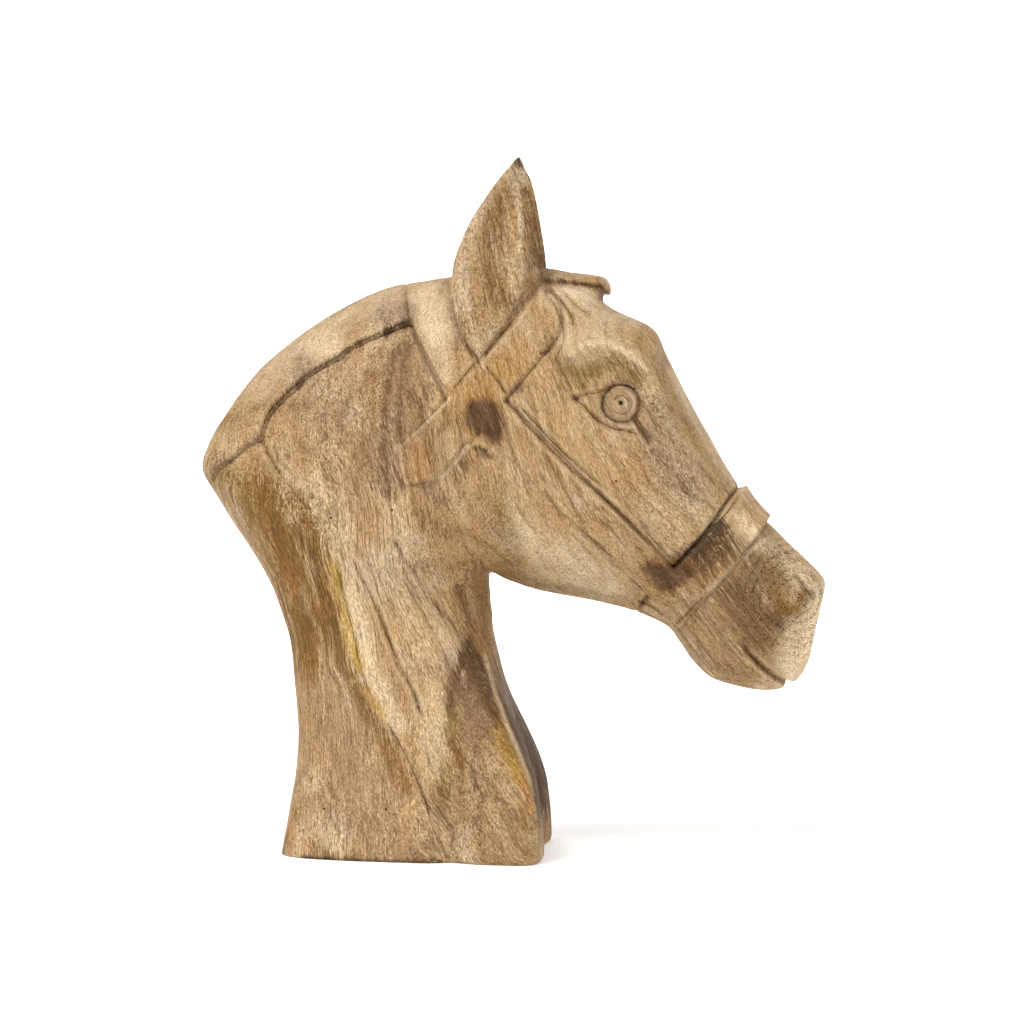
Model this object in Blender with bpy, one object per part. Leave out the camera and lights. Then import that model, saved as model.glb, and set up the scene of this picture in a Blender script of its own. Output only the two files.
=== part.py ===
"""Carved horse head in one piece of mango wood, standing on the flat cut of its own neck.

Metres, +Z up. The head looks along +X and its sides face -Y and +Y. The origin is
on the table, under the middle of the figure's box.
"""

import math

import bmesh
import bpy
import numpy as np

# Driving sizes
FIGURE_HEIGHT = 0.254
FOOT_WIDTH = 0.1016
FOOT_ROUND_BACK = 0.0008
FOOT_ROUND_FRONT = 0.0026
STRAP_WIDTH = 0.016
STRAP_RAISE = 0.0008
NOSEBAND_RAISE = 0.0036
MANE_RAISE = 0.0014
GROOVE_WIDTH = 0.0010
GROOVE_DEPTH = 0.0012
EYE_RADIUS = 0.0066
EYE_BULGE = 0.0014
EAR_THICKNESS = 0.015
EAR_SPACING = 0.043
FORELOCK_WIDTH = 0.028
CHEST_CLEFT = 0.010

# The carving is drawn 254 high. Every free form below is in these drawn units,
# which are millimetres at the real height.
DRAWN_HEIGHT = 254.0
UNIT = FIGURE_HEIGHT / DRAWN_HEIGHT

# How finely the form is worked
RIB_STEPS = 5
RING_POINTS = 72
CHISEL_STEP = 0.0010
SANDING_PASSES = 3
FACET_COUNT = 9700

# Outline of the neck and head, seen from the side as (rib, x, z). Ribs run from
# under the foot (0) by the withers (11), the poll (18) and the forehead (22) to
# the lips (33).
CREST_LINE = [
    (0, -84.9, -10.9), (1, -84.5, -0.5), (2, -81.9, 15.0), (3, -79.3, 31.7),
    (4, -78.9, 46.5), (5, -80.4, 63.1), (6, -83.0, 81.6), (7, -91.2, 102.3),
    (8, -103.0, 120.5), (9, -111.2, 133.1), (10, -114.9, 139.3), (11, -115.6, 143.0),
    (12, -114.0, 148.8), (13, -106.9, 161.9), (14, -93.0, 179.6), (15, -72.8, 195.4),
    (16, -50.4, 207.1), (17, -30.4, 211.5), (18, -8.2, 214.1), (19, 12.2, 213.0),
    (20, 27.5, 208.0), (21, 37.8, 200.0), (22, 51.9, 193.0), (23, 57.4, 182.6),
    (24, 68.1, 161.6), (25, 81.4, 138.6), (26, 88.8, 127.5), (27, 98.8, 117.2),
    (28, 108.0, 108.2), (29, 113.9, 102.2), (30, 115.3, 98.5), (31, 113.8, 92.0),
    (32, 111.9, 83.1), (33, 110.1, 75.0),
]
THROAT_LINE = [
    (0, 16.0, -10.9), (1, 16.0, -0.5), (3, 12.8, 31.7), (4, 6.2, 47.6),
    (5, -1.4, 63.1), (6, -5.8, 76.1), (8, -7.4, 88.3), (11, -8.0, 95.0),
    (14, -8.4, 100.0), (17, -7.4, 102.9), (19, -1.4, 100.0), (21, 12.2, 95.9),
    (22, 23.3, 93.9), (23, 31.5, 92.3), (24, 43.7, 89.2), (25, 56.3, 84.2),
    (26, 62.0, 77.5), (27, 67.0, 70.6), (28, 73.8, 64.2), (29, 84.5, 61.0),
    (30, 93.8, 59.9), (31, 101.5, 61.3), (32, 106.4, 65.3), (33, 108.9, 69.8),
]
# Half of the width at each rib, as (rib, half width), above the foot
HALF_WIDTHS = [
    (3, 45.0), (4, 40.5), (5, 36.5), (6, 34.0), (8, 32.5), (11, 31.5), (14, 31.0),
    (17, 30.0), (19, 31.0), (21, 33.5), (22, 34.0), (23, 33.0), (24, 28.5),
    (25, 23.5), (27, 20.5), (28, 21.5), (29, 21.0), (30, 19.0), (31, 16.0),
    (32, 11.5), (33, 6.5),
]
# How much narrower each rib is at the crest than at the throat, as a share
TAPER = [(0, 0.40), (3, 0.33), (5, 0.16), (7, 0.05), (9, 0.0), (10, 0.0), (33, 0.0)]
# Where each rib is widest, as a share of the way from the crest to the throat
WIDEST_AT = [
    (0, 0.80), (3, 0.76), (5, 0.62), (7, 0.52), (11, 0.58), (14, 0.62), (17, 0.56),
    (19, 0.48), (21, 0.36), (23, 0.36), (25, 0.46), (28, 0.42), (33, 0.5),
]
# How full each rib is towards the crest and towards the throat: 2 is an ellipse,
# more is squarer
CREST_FULLNESS = [
    (0, 5.0), (3, 4.0), (6, 2.6), (9, 1.9), (14, 1.7), (17, 2.0), (19, 2.6),
    (22, 2.8), (25, 2.5), (28, 2.8), (31, 3.0), (33, 2.4),
]
THROAT_FULLNESS = [
    (0, 4.0), (3, 3.4), (6, 2.3), (14, 2.0), (21, 2.3), (25, 2.3), (29, 2.4), (33, 2.0),
]
# How deep the front of the chest is parted between its two lobes, as a share
CLEFT_SHARE = [(0, 1.0), (1, 1.0), (3, 0.8), (4, 0.5), (5, 0.15), (6, 0.0), (7, 0.0), (33, 0.0)]
CLEFT_HALF_WIDTH = 19.0

# The ear, as (z, back x, front x, share of the thickness, lean out)
EAR_RIBS = [
    (178.0, -12.5, -10.0, 0.55, 4.0), (186.0, -16.5, -5.5, 0.85, 3.0),
    (192.0, -18.8, -0.2, 1.0, 2.0), (200.0, -20.2, 5.0, 1.0, 1.0),
    (208.0, -20.6, 9.8, 0.95, 0.2), (215.0, -20.0, 11.8, 0.86, 0.0),
    (223.0, -17.4, 11.4, 0.74, 0.0), (231.0, -13.8, 10.2, 0.62, 0.3),
    (239.0, -8.6, 8.7, 0.48, 0.8), (246.0, -3.6, 7.2, 0.33, 1.3),
    (251.0, 0.6, 5.8, 0.2, 1.8), (254.2, 3.2, 4.2, 0.06, 2.0),
]
# How far the front of the ear is turned in, sideways per forwards
EAR_TURN = 0.25
# Where the ear's outer side has its ridge, as (z, share of the half length), and the
# heights between which the ear comes clear of the head
EAR_RIDGE = [(178.0, 0.75), (205.0, 0.75), (211.0, 0.72), (222.0, 0.58), (232.0, 0.48), (255.0, 0.2)]
EAR_ROOT = (179.0, 184.0)
# The forelock, as (x, top z, under z, share of the width)
FORELOCK_RIBS = [
    (2.0, 214.5, 200.0, 0.7), (12.0, 215.6, 199.0, 0.85), (22.0, 213.8, 200.0, 1.0),
    (29.0, 213.0, 203.0, 0.97), (34.3, 211.9, 204.4, 0.9), (36.4, 209.4, 206.0, 0.62),
]

# Paths of the carved lines and bands, seen from the side as (x, z)
MANE_LINE = [
    (-35.2, 194.3), (-43.2, 191.4), (-53.0, 187.8), (-60.3, 184.2), (-68.6, 179.5),
    (-74.8, 174.4), (-82.1, 167.1), (-87.5, 159.8), (-90.4, 152.6), (-97.7, 149.7),
    (-103.9, 143.1), (-113.0, 131.0),
]
WITHERS_LINE = [(-90.4, 152.6), (-86.8, 146.8), (-79.4, 135.8), (-75.8, 129.7), (-72.0, 119.5)]
CROWN_STRAP = [(-31.5, 222.0), (-30.5, 208.0), (-27.8, 196.0), (-23.2, 185.8), (-14.0, 168.0)]
THROAT_STRAP = [
    (-30.7, 142.9), (-18.1, 157.9), (-5.5, 172.8), (6.5, 187.0), (11.4, 194.0),
    (9.6, 200.5), (4.0, 205.0),
]
CHEEK_STRAP = [(-6.2, 161.0), (57.6, 97.2)]
NOSEBAND = [(43.5, 77.4), (59.0, 94.7), (89.5, 129.6), (107.1, 149.2)]
# How deep each strap's two edges are cut, as shares: left and right along its path
STRAP_CUTS = [(0.3, 1.2), (1.0, 0.8), (1.7, 0.7), (1.9, 0.9)]
FORELOCK_FOLD = [(12.0, 209.9), (23.8, 208.6), (32.2, 206.7), (36.0, 203.0)]
TUFT_LINES = [
    [(18.6, 207.0), (23.0, 201.5), (29.5, 196.8)],
    [(14.4, 206.3), (19.2, 202.0), (23.3, 196.6), (24.5, 191.5)],
]
EYE = (40.9, 164.2)
EYE_CORNER = (24.2, 166.2)
BROW_LINE = [
    (21.0, 181.5), (27.0, 184.2), (33.1, 184.9), (41.8, 182.1), (47.9, 178.5),
    (51.8, 173.5), (53.0, 167.0),
]
BROW_HOLLOW = [(33.0, 176.8), (42.5, 176.0), (48.0, 171.5)]
UPPER_LID = [EYE_CORNER, (29.5, 167.6), (34.5, 168.9)]
LOWER_LID = [
    EYE_CORNER, (27.5, 162.5), (32.1, 159.1), (37.4, 156.2), (43.9, 154.7), (50.0, 151.5),
]
TEAR_LINE = [(46.1, 159.4), (50.7, 151.5)]
MOUTH_LINE = [(87.2, 76.0), (89.6, 71.2), (93.6, 67.2), (98.3, 63.8), (103.5, 60.8)]
NOSTRIL = (102.0, 94.8)
NOSTRIL_RADIUS = 9.0
NOSTRIL_SLIT = [(105.1, 101.3), (108.0, 97.7), (109.8, 94.4)]
LIP_FLAT = [(114.0, 97.5), (110.4, 94.8), (107.4, 89.7), (100.9, 86.0), (96.5, 80.0), (94.5, 72.0)]
LIP_SLOPE = 0.35
SHOULDER_VALLEY = [
    (-10.0, 94.0), (-13.4, 79.2), (-17.5, 57.8), (-20.0, 36.5), (-20.0, 18.0), (-19.5, -8.0),
]
EAR_DISH = [(3.5, 243.0), (-2.5, 228.0), (-4.5, 214.0), (-4.0, 200.0)]
# The heights above which the mane is cut, and between which the lip plane comes in
MANE_LOW = 118.0
LIP_RISE = (64.0, 74.0)

# Width and depth of the cuts, each with its depth at the far end where that differs,
# and width and height of the rises
MANE_CUT = (1.2, 1.7)
MANE_STEP_WIDTH = 14.0
WITHERS_CUT = (2.0, 1.1, 0.3)
FOLD_CUT = (1.2, 1.3)
TUFT_CUT = (1.2, 0.9)
EYE_SOCKET = (9.9, 1.0)
EYE_RING = (0.8, 0.9)
IRIS_RING = (0.6, 0.5)
BROW_RISE = (3.6, 2.0)
BROW_CUT = (5.0, 2.2)
UPPER_LID_CUT = (0.9, 0.8)
LOWER_LID_CUT = (0.9, 0.9)
TEAR_CUT = (1.4, 0.9)
NOSTRIL_RISE = 2.0
SLIT_CUT = (1.3, 1.8)
LIP_CUT = (2.2, 0.8, 0.0)
MOUTH_CUT = (1.6, 1.2, 2.4)
VALLEY_CUT = (6.0, 1.0, 3.4)
EAR_CUT = (5.2, 2.8)


def clear_scene():
    for thing in list(bpy.data.objects):
        bpy.data.objects.remove(thing)


def through(knots, at):
    """Values of a smooth curve through (rib, value, ...) knots, at each rib in at."""
    knots = np.array(knots, float)
    ribs, values = knots[:, 0], knots[:, 1:]
    gaps = np.diff(ribs)[:, None]
    slopes = np.diff(values, axis=0) / gaps
    middle = (gaps[1:] * slopes[:-1] + gaps[:-1] * slopes[1:]) / (gaps[1:] + gaps[:-1])
    tangents = np.vstack([slopes[:1], middle, slopes[-1:]])
    span = np.clip(np.searchsorted(ribs, at, side="right") - 1, 0, len(ribs) - 2)
    gap = gaps[span]
    t = (np.asarray(at)[:, None] - ribs[span][:, None]) / gap
    return (
        (2 * t**3 - 3 * t**2 + 1) * values[span]
        + (t**3 - 2 * t**2 + t) * gap * tangents[span]
        + (3 * t**2 - 2 * t**3) * values[span + 1]
        + (t**3 - t**2) * gap * tangents[span + 1]
    )


def ease(low, high, value):
    """0 below low, 1 above high, and smooth between."""
    t = np.clip((value - low) / (high - low), 0, 1)
    return t * t * (3 - 2 * t)


def mesh_from_rings(name, rings):
    """A closed mesh lofted through rings of points, capped at both ends."""
    mesh = bpy.data.meshes.new(name)
    form = bmesh.new()
    loops = [[form.verts.new(point) for point in ring] for ring in rings]
    count = len(loops[0])
    for lower, upper in zip(loops, loops[1:]):
        for i in range(count):
            j = (i + 1) % count
            form.faces.new((lower[i], lower[j], upper[j], upper[i]))
    form.faces.new(loops[0][::-1])
    form.faces.new(loops[-1])
    bmesh.ops.recalc_face_normals(form, faces=form.faces)
    form.to_mesh(mesh)
    form.free()
    return mesh


def neck_and_head():
    """The neck and head as one bent loft from under the foot to the lips."""
    last_rib = CREST_LINE[-1][0]
    at = np.linspace(0, last_rib, round(last_rib * RIB_STEPS) + 1)
    foot_half_width = FOOT_WIDTH / UNIT / 2
    widths = [(0, foot_half_width), (1, foot_half_width), *HALF_WIDTHS]
    crest, throat = through(CREST_LINE, at), through(THROAT_LINE, at)
    half_width = through(widths, at)[:, 0]
    widest = through(WIDEST_AT, at)[:, 0]
    crest_power = 2 / through(CREST_FULLNESS, at)[:, 0]
    throat_power = 2 / through(THROAT_FULLNESS, at)[:, 0]
    taper = through(TAPER, at)[:, 0]
    cleft = through(CLEFT_SHARE, at)[:, 0] * CHEST_CLEFT / UNIT
    turn = np.arange(RING_POINTS) * 2 * math.pi / RING_POINTS
    cos, sin = np.cos(turn), np.sin(turn)
    rings = []
    for i in range(len(at)):
        power = np.where(cos >= 0, crest_power[i], throat_power[i])
        reach = np.abs(cos) ** power
        share = np.where(
            cos >= 0,
            widest[i] * (1 - reach),
            widest[i] + (1 - widest[i]) * reach,
        )
        y = half_width[i] * np.sign(sin) * np.abs(sin) ** power
        y *= 1 - taper[i] * (1 - share)
        span = throat[i] - crest[i]
        parting = cleft[i] * np.exp(-((y / CLEFT_HALF_WIDTH) ** 2)) * ease(0.6, 0.95, share)
        share = share - parting / np.linalg.norm(span)
        x = crest[i, 0] + span[0] * share
        z = crest[i, 1] + span[1] * share
        rings.append(np.column_stack([x, y, z]) * UNIT)
    return mesh_from_rings("neck and head", rings)


def ear_section(z):
    """Middle x, middle distance from the centre, half length and half thickness at z."""
    ribs = np.array(EAR_RIBS)
    back, front, thick, lean = through(ribs, np.clip(z, ribs[0, 0], ribs[-1, 0])).T
    out = EAR_SPACING / 2 / UNIT + lean
    return (back + front) / 2, out, (front - back) / 2, thick * EAR_THICKNESS / UNIT / 2


def ear_swell(z, share):
    """Thickness of the ear's outer side, from its back (-1) by its ridge to its front (1)."""
    ridge = through(EAR_RIDGE, z)[:, 0]
    behind = np.sqrt(np.clip(1 - ((share - ridge) / (1 + ridge)) ** 2, 0, 1))
    ahead = np.clip((1 - share) / (1 - ridge), 0, 1) ** 0.8
    return np.where(share < ridge, behind, ahead)


def ear(side):
    """One ear, as a leaf lofted upwards; side is -1 or 1."""
    low, high = EAR_RIBS[0][0], EAR_RIBS[-1][0]
    turn = np.arange(RING_POINTS // 2) * 4 * math.pi / RING_POINTS
    rings = []
    for z in np.linspace(low, high, (len(EAR_RIBS) - 1) * RIB_STEPS + 1):
        middle, out, length, thick = (value[0] for value in ear_section(np.array([z])))
        x = length * np.cos(turn)
        swell = ear_swell(np.full_like(x, z), np.cos(turn))
        y = side * (out - EAR_TURN * x + thick * np.where(np.sin(turn) > 0, swell, np.sin(turn)))
        rings.append(np.column_stack([middle + x, y, np.full_like(x, z)]) * UNIT)
    return mesh_from_rings("ear", rings)


def forelock():
    """The tuft that lies forward between the ears, over the brow."""
    ribs = np.array(FORELOCK_RIBS)
    steps = np.arange(len(ribs))
    at = np.linspace(0, steps[-1], steps[-1] * RIB_STEPS + 1)
    rows = through(np.column_stack([steps, ribs]), at)
    turn = np.arange(RING_POINTS // 2) * 4 * math.pi / RING_POINTS
    rings = []
    for x, top, under, share in rows:
        power = 0.8
        cos, sin = np.cos(turn), np.sin(turn)
        y = share * FORELOCK_WIDTH / UNIT / 2 * np.sign(cos) * np.abs(cos) ** power
        z = (top + under) / 2 + (top - under) / 2 * np.sign(sin) * np.abs(sin) ** power
        rings.append(np.column_stack([np.full_like(y, x), y, z]) * UNIT)
    return mesh_from_rings("forelock", rings)


def fused(meshes):
    """One skin round all of the meshes, with its grid as fine as the chisel step."""
    form = bmesh.new()
    for mesh in meshes:
        form.from_mesh(mesh)
    joined = bpy.data.meshes.new("joined")
    form.to_mesh(joined)
    form.free()
    blank = bpy.data.objects.new("blank", joined)
    bpy.context.collection.objects.link(blank)
    remesh = blank.modifiers.new("skin", "REMESH")
    remesh.mode = "VOXEL"
    remesh.voxel_size = CHISEL_STEP
    sanding = blank.modifiers.new("sanding", "SMOOTH")
    sanding.factor = 0.5
    sanding.iterations = SANDING_PASSES
    bpy.context.view_layer.update()
    graph = bpy.context.evaluated_depsgraph_get()
    skin = bpy.data.meshes.new_from_object(blank.evaluated_get(graph))
    bpy.data.objects.remove(blank)
    return skin


def read(mesh, what):
    values = np.empty(len(mesh.vertices) * 3, np.float32)
    mesh.vertices.foreach_get(what, values)
    return values.reshape(-1, 3).astype(float)


def smooth_path(path, steps=6):
    numbered = [(i, *point) for i, point in enumerate(path)]
    return through(numbered, np.linspace(0, len(path) - 1, (len(path) - 1) * steps + 1))


def from_path(points, path):
    """Distance of side-view points from a path, their side of it (+ left), and how far along."""
    path = np.array(path, float)
    lengths = np.linalg.norm(np.diff(path, axis=0), axis=1)
    run = np.concatenate([[0], np.cumsum(lengths)])
    best = np.full(len(points), np.inf)
    side, along = np.zeros(len(points)), np.zeros(len(points))
    for i, (start, end) in enumerate(zip(path, path[1:])):
        way = end - start
        share = np.clip(((points - start) @ way) / (way @ way), 0, 1)
        off = points - start - share[:, None] * way
        distance = np.linalg.norm(off, axis=1)
        nearer = distance < best
        best[nearer] = distance[nearer]
        side[nearer] = np.sign(way[0] * off[nearer, 1] - way[1] * off[nearer, 0])
        along[nearer] = (run[i] + share[nearer] * lengths[i]) / run[-1]
    return best, side, along


def groove(points, path, width, depth, end_depth=None):
    """A cut along a path, negative; it may deepen towards its end."""
    distance, _, along = from_path(points, smooth_path(path))
    end_depth = depth if end_depth is None else end_depth
    return -(depth + (end_depth - depth) * along) * np.exp(-((distance / width) ** 2))


def band(points, path, width, edge):
    """1 on a band along a path, 0 off it."""
    distance = from_path(points, path)[0]
    return 1 - ease(width / 2 - edge / 2, width / 2 + edge / 2, distance)


def dome(points, centre, radius):
    """1 at the centre, falling as a sphere's cap to 0 at the radius."""
    distance = np.linalg.norm(points - np.array(centre), axis=1) / radius
    return np.sqrt(np.clip(1 - distance**2, 0, 1))


def on_ear(place):
    """1 on the ears and 0 on the head around them, and how far out from mid ear."""
    middle, out, length, thick = ear_section(place[:, 2])
    x = place[:, 0] - middle
    y = np.abs(place[:, 1]) - out + EAR_TURN * x
    share = x / length
    swell = ear_swell(place[:, 2], share).clip(1e-3)
    round_share = np.sqrt(np.clip(1 - share**2, 0, 1))
    thickness = thick * np.where(y > 0, swell, round_share.clip(1e-3))
    radius = np.hypot(share, round_share * y / thickness)
    return (1 - ease(1.0, 1.25, radius)) * ease(*EAR_ROOT, place[:, 2]), y


def mane(seen, sideways):
    """The mane stands a little proud of the neck, above a rough cut."""
    off_strap, strap_side, _ = from_path(seen, CROWN_STRAP)
    edge = STRAP_WIDTH / UNIT / 2
    behind = ease(edge - 0.6, edge + 0.6, -strap_side * off_strap) * (seen[:, 1] > MANE_LOW)
    distance, side, _ = from_path(seen, smooth_path(MANE_LINE))
    below = (side > 0) * np.exp(-((distance / MANE_STEP_WIDTH) ** 2)) * behind
    withers = groove(seen, WITHERS_LINE, *WITHERS_CUT)
    cut = groove(seen, MANE_LINE, *MANE_CUT) * behind
    return sideways * (cut - below * MANE_RAISE / UNIT + withers)


def harness(seen, sideways, over_nose):
    """Crown strap, brow and throat strap, cheek strap and noseband, with cut edges."""
    width, raised = STRAP_WIDTH / UNIT, STRAP_RAISE / UNIT
    cut_width, cut_depth = GROOVE_WIDTH / UNIT, GROOVE_DEPTH / UNIT
    straps = (CROWN_STRAP, smooth_path(THROAT_STRAP), CHEEK_STRAP, NOSEBAND)
    cover = [band(seen, path, width, 1.2) for path in straps]
    relief = np.max(cover, axis=0) * raised * sideways
    relief += cover[-1] * over_nose * (NOSEBAND_RAISE - STRAP_RAISE) / UNIT
    for i, (path, cuts) in enumerate(zip(straps, STRAP_CUTS)):
        distance, side, _ = from_path(seen, path)
        depth = cut_depth * np.where(side > 0, *cuts)
        edge = np.exp(-(((distance - width / 2 - cut_width / 2) / cut_width) ** 2))
        others = np.max(cover[:i] + cover[i + 1:], axis=0)
        relief -= edge * depth * (1 - others) * (0.2 + 0.8 * sideways)
    return relief


def forelock_folds(seen):
    """The fold along the side of the forelock, and the tufts under it."""
    relief = groove(seen, FORELOCK_FOLD, *FOLD_CUT)
    for path in TUFT_LINES:
        relief += groove(seen, path, *TUFT_CUT)
    return relief


def eyes(seen, sideways):
    """Eyeballs with a ring and a pupil, lids, tear ducts and brows."""
    radius = EYE_RADIUS / UNIT
    from_eye = np.linalg.norm(seen - np.array(EYE), axis=1)
    relief = dome(seen, EYE, radius) * EYE_BULGE / UNIT
    relief -= EYE_SOCKET[1] * np.exp(-((from_eye / EYE_SOCKET[0]) ** 4))
    for at, (width, depth) in ((radius, EYE_RING), (0.55 * radius, IRIS_RING)):
        relief -= depth * np.exp(-(((from_eye - at) / width) ** 2))
    relief -= groove(seen, BROW_LINE, *BROW_RISE)
    relief += groove(seen, BROW_HOLLOW, *BROW_CUT)
    relief += groove(seen, UPPER_LID, *UPPER_LID_CUT)
    relief += groove(seen, LOWER_LID, *LOWER_LID_CUT)
    relief += groove(seen, TEAR_LINE, *TEAR_CUT)
    return relief * sideways


def muzzle(seen, sideways):
    """Nostrils, the flat in front of them and the mouth."""
    relief = NOSTRIL_RISE * dome(seen, NOSTRIL, NOSTRIL_RADIUS) ** 1.5
    relief += groove(seen, NOSTRIL_SLIT, *SLIT_CUT)
    distance, side, _ = from_path(seen, smooth_path(LIP_FLAT))
    ahead = np.clip(side * distance, 0, NOSTRIL_RADIUS)
    relief -= ahead * LIP_SLOPE * ease(*LIP_RISE, seen[:, 1])
    relief += groove(seen, LIP_FLAT, *LIP_CUT)
    return relief * sideways + groove(seen, MOUTH_LINE, *MOUTH_CUT)


def soften(mesh, where):
    """Rounds the chosen points of the skin a little."""
    form = bmesh.new()
    form.from_mesh(mesh)
    form.verts.ensure_lookup_table()
    chosen = [form.verts[i] for i in np.flatnonzero(where)]
    for _ in range(SANDING_PASSES):
        bmesh.ops.smooth_vert(
            form, verts=chosen, factor=0.5, use_axis_x=True, use_axis_y=True, use_axis_z=True
        )
    form.to_mesh(mesh)
    form.free()


def carve(mesh):
    """Cuts all of the carving into the skin, and sands where the ears leave the head."""
    place, normal = read(mesh, "co") / UNIT, read(mesh, "normal")
    seen = place[:, [0, 2]]
    side = np.sign(place[:, 1])
    sideways = ease(0.2, 0.65, np.abs(normal[:, 1]))
    over_nose = ease(0.3, 0.8, 0.87 * normal[:, 0] + 0.5 * normal[:, 2])
    relief = mane(seen, sideways) + harness(seen, sideways, over_nose)
    relief += eyes(seen, sideways) + muzzle(seen, sideways) + forelock_folds(seen)
    relief += groove(seen, SHOULDER_VALLEY, *VALLEY_CUT) * sideways
    ears, outside = on_ear(place)
    outer = ears * ease(0.2, 0.7, normal[:, 1] * side)
    hollow = np.minimum(-groove(seen, EAR_DISH, *EAR_CUT), outside.clip(0) * 0.85)
    place += normal * (relief * (1 - ears))[:, None]
    place[:, 1] -= side * outer * hollow
    mesh.vertices.foreach_set("co", (place * UNIT).astype(np.float32).ravel())
    mesh.update()
    soften(mesh, (ears > 0.02) & (ears < 0.98))


def cut_foot(mesh):
    """Cuts the neck off flat on the table, with a rounder corner at the front."""
    place, normal = read(mesh, "co"), read(mesh, "normal")
    forward = ease(-0.08, 0.0, place[:, 0])
    corner = FOOT_ROUND_BACK + (FOOT_ROUND_FRONT - FOOT_ROUND_BACK) * forward
    rise = (corner - place[:, 2]).clip(0, corner)
    inset = corner - np.sqrt(corner**2 - rise**2)
    out = normal[:, :2] / np.linalg.norm(normal[:, :2], axis=1).clip(1e-6)[:, None]
    place[:, :2] -= out * inset[:, None]
    mesh.vertices.foreach_set("co", place.astype(np.float32).ravel())
    form = bmesh.new()
    form.from_mesh(mesh)
    cut = bmesh.ops.bisect_plane(
        form,
        geom=form.verts[:] + form.edges[:] + form.faces[:],
        dist=1e-6,
        plane_co=(0, 0, 0),
        plane_no=(0, 0, -1),
        clear_outer=True,
    )
    rim = [part for part in cut["geom_cut"] if isinstance(part, bmesh.types.BMEdge)]
    bmesh.ops.contextual_create(form, geom=rim)
    bmesh.ops.triangulate(form, faces=[face for face in form.faces if len(face.verts) > 4])
    bmesh.ops.recalc_face_normals(form, faces=form.faces)
    form.to_mesh(mesh)
    form.free()


def thinned(mesh, faces):
    """The same form with few faces, most of them where the carving turns."""
    model = bpy.data.objects.new("model", mesh)
    bpy.context.collection.objects.link(model)
    triangles = sum(len(face.vertices) - 2 for face in mesh.polygons)
    decimate = model.modifiers.new("facets", "DECIMATE")
    decimate.ratio = faces / triangles
    bpy.context.view_layer.update()
    graph = bpy.context.evaluated_depsgraph_get()
    result = bpy.data.meshes.new_from_object(model.evaluated_get(graph))
    bpy.data.objects.remove(model)
    return result


def set_on_origin(mesh):
    """Brings the figure to its stated height and width, its box centred on the origin."""
    place = read(mesh, "co")
    low, high = place.min(0), place.max(0)
    place[:, :2] -= ((low + high) / 2)[:2]
    place[:, 1] *= FOOT_WIDTH / (high[1] - low[1])
    place[:, 2] *= FIGURE_HEIGHT / high[2]
    place[np.abs(place[:, 2]) < FOOT_ROUND_BACK / 10, 2] = 0.0
    mesh.vertices.foreach_set("co", place.astype(np.float32).ravel())
    mesh.update()


def mango_wood():
    """Pale oiled mango wood."""
    wood = bpy.data.materials.new("mango wood")
    wood.use_nodes = True
    shader = wood.node_tree.nodes["Principled BSDF"]
    shader.inputs["Base Color"].default_value = (0.50, 0.34, 0.19, 1.0)
    shader.inputs["Roughness"].default_value = 0.55
    shader.inputs["Metallic"].default_value = 0.0
    return wood


def main():
    clear_scene()
    skin = fused([neck_and_head(), ear(-1), ear(1), forelock()])
    carve(skin)
    cut_foot(skin)
    figure = thinned(skin, FACET_COUNT)
    set_on_origin(figure)
    figure.materials.clear()
    figure.materials.append(mango_wood())
    head = bpy.data.objects.new("horse_head", figure)
    bpy.context.collection.objects.link(head)
    figure.shade_smooth()
    figure.set_sharp_from_angle(angle=math.radians(40))


main()
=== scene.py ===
"""Carved mango wood horse head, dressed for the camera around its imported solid."""

import itertools
import math

import bpy
import numpy as np
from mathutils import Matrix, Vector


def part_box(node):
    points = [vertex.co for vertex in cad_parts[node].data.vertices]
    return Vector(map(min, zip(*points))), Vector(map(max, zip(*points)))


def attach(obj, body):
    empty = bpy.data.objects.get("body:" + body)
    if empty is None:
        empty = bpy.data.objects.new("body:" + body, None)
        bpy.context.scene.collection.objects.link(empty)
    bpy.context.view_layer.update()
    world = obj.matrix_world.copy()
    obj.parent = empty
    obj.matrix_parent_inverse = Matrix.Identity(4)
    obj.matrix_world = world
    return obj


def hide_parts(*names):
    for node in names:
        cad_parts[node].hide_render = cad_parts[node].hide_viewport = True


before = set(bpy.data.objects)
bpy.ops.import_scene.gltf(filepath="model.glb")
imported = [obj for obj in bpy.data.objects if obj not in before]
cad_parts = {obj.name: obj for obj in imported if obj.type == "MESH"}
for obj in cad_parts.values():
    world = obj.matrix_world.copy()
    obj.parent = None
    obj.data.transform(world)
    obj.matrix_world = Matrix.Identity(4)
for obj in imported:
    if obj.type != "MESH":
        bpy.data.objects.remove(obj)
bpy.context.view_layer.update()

# The neck and head
# The figure is one block of mango wood. The neck and the head are roughed out of it as
# one bent form, flat under the foot and parted into two lobes at the front of the chest.
# All forms are drawn 254 high, so that a drawn unit is a millimetre.
FOOT_HALF_WIDTH = 50.8
RIB_STEPS = 6
RING_POINTS = 96
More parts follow.
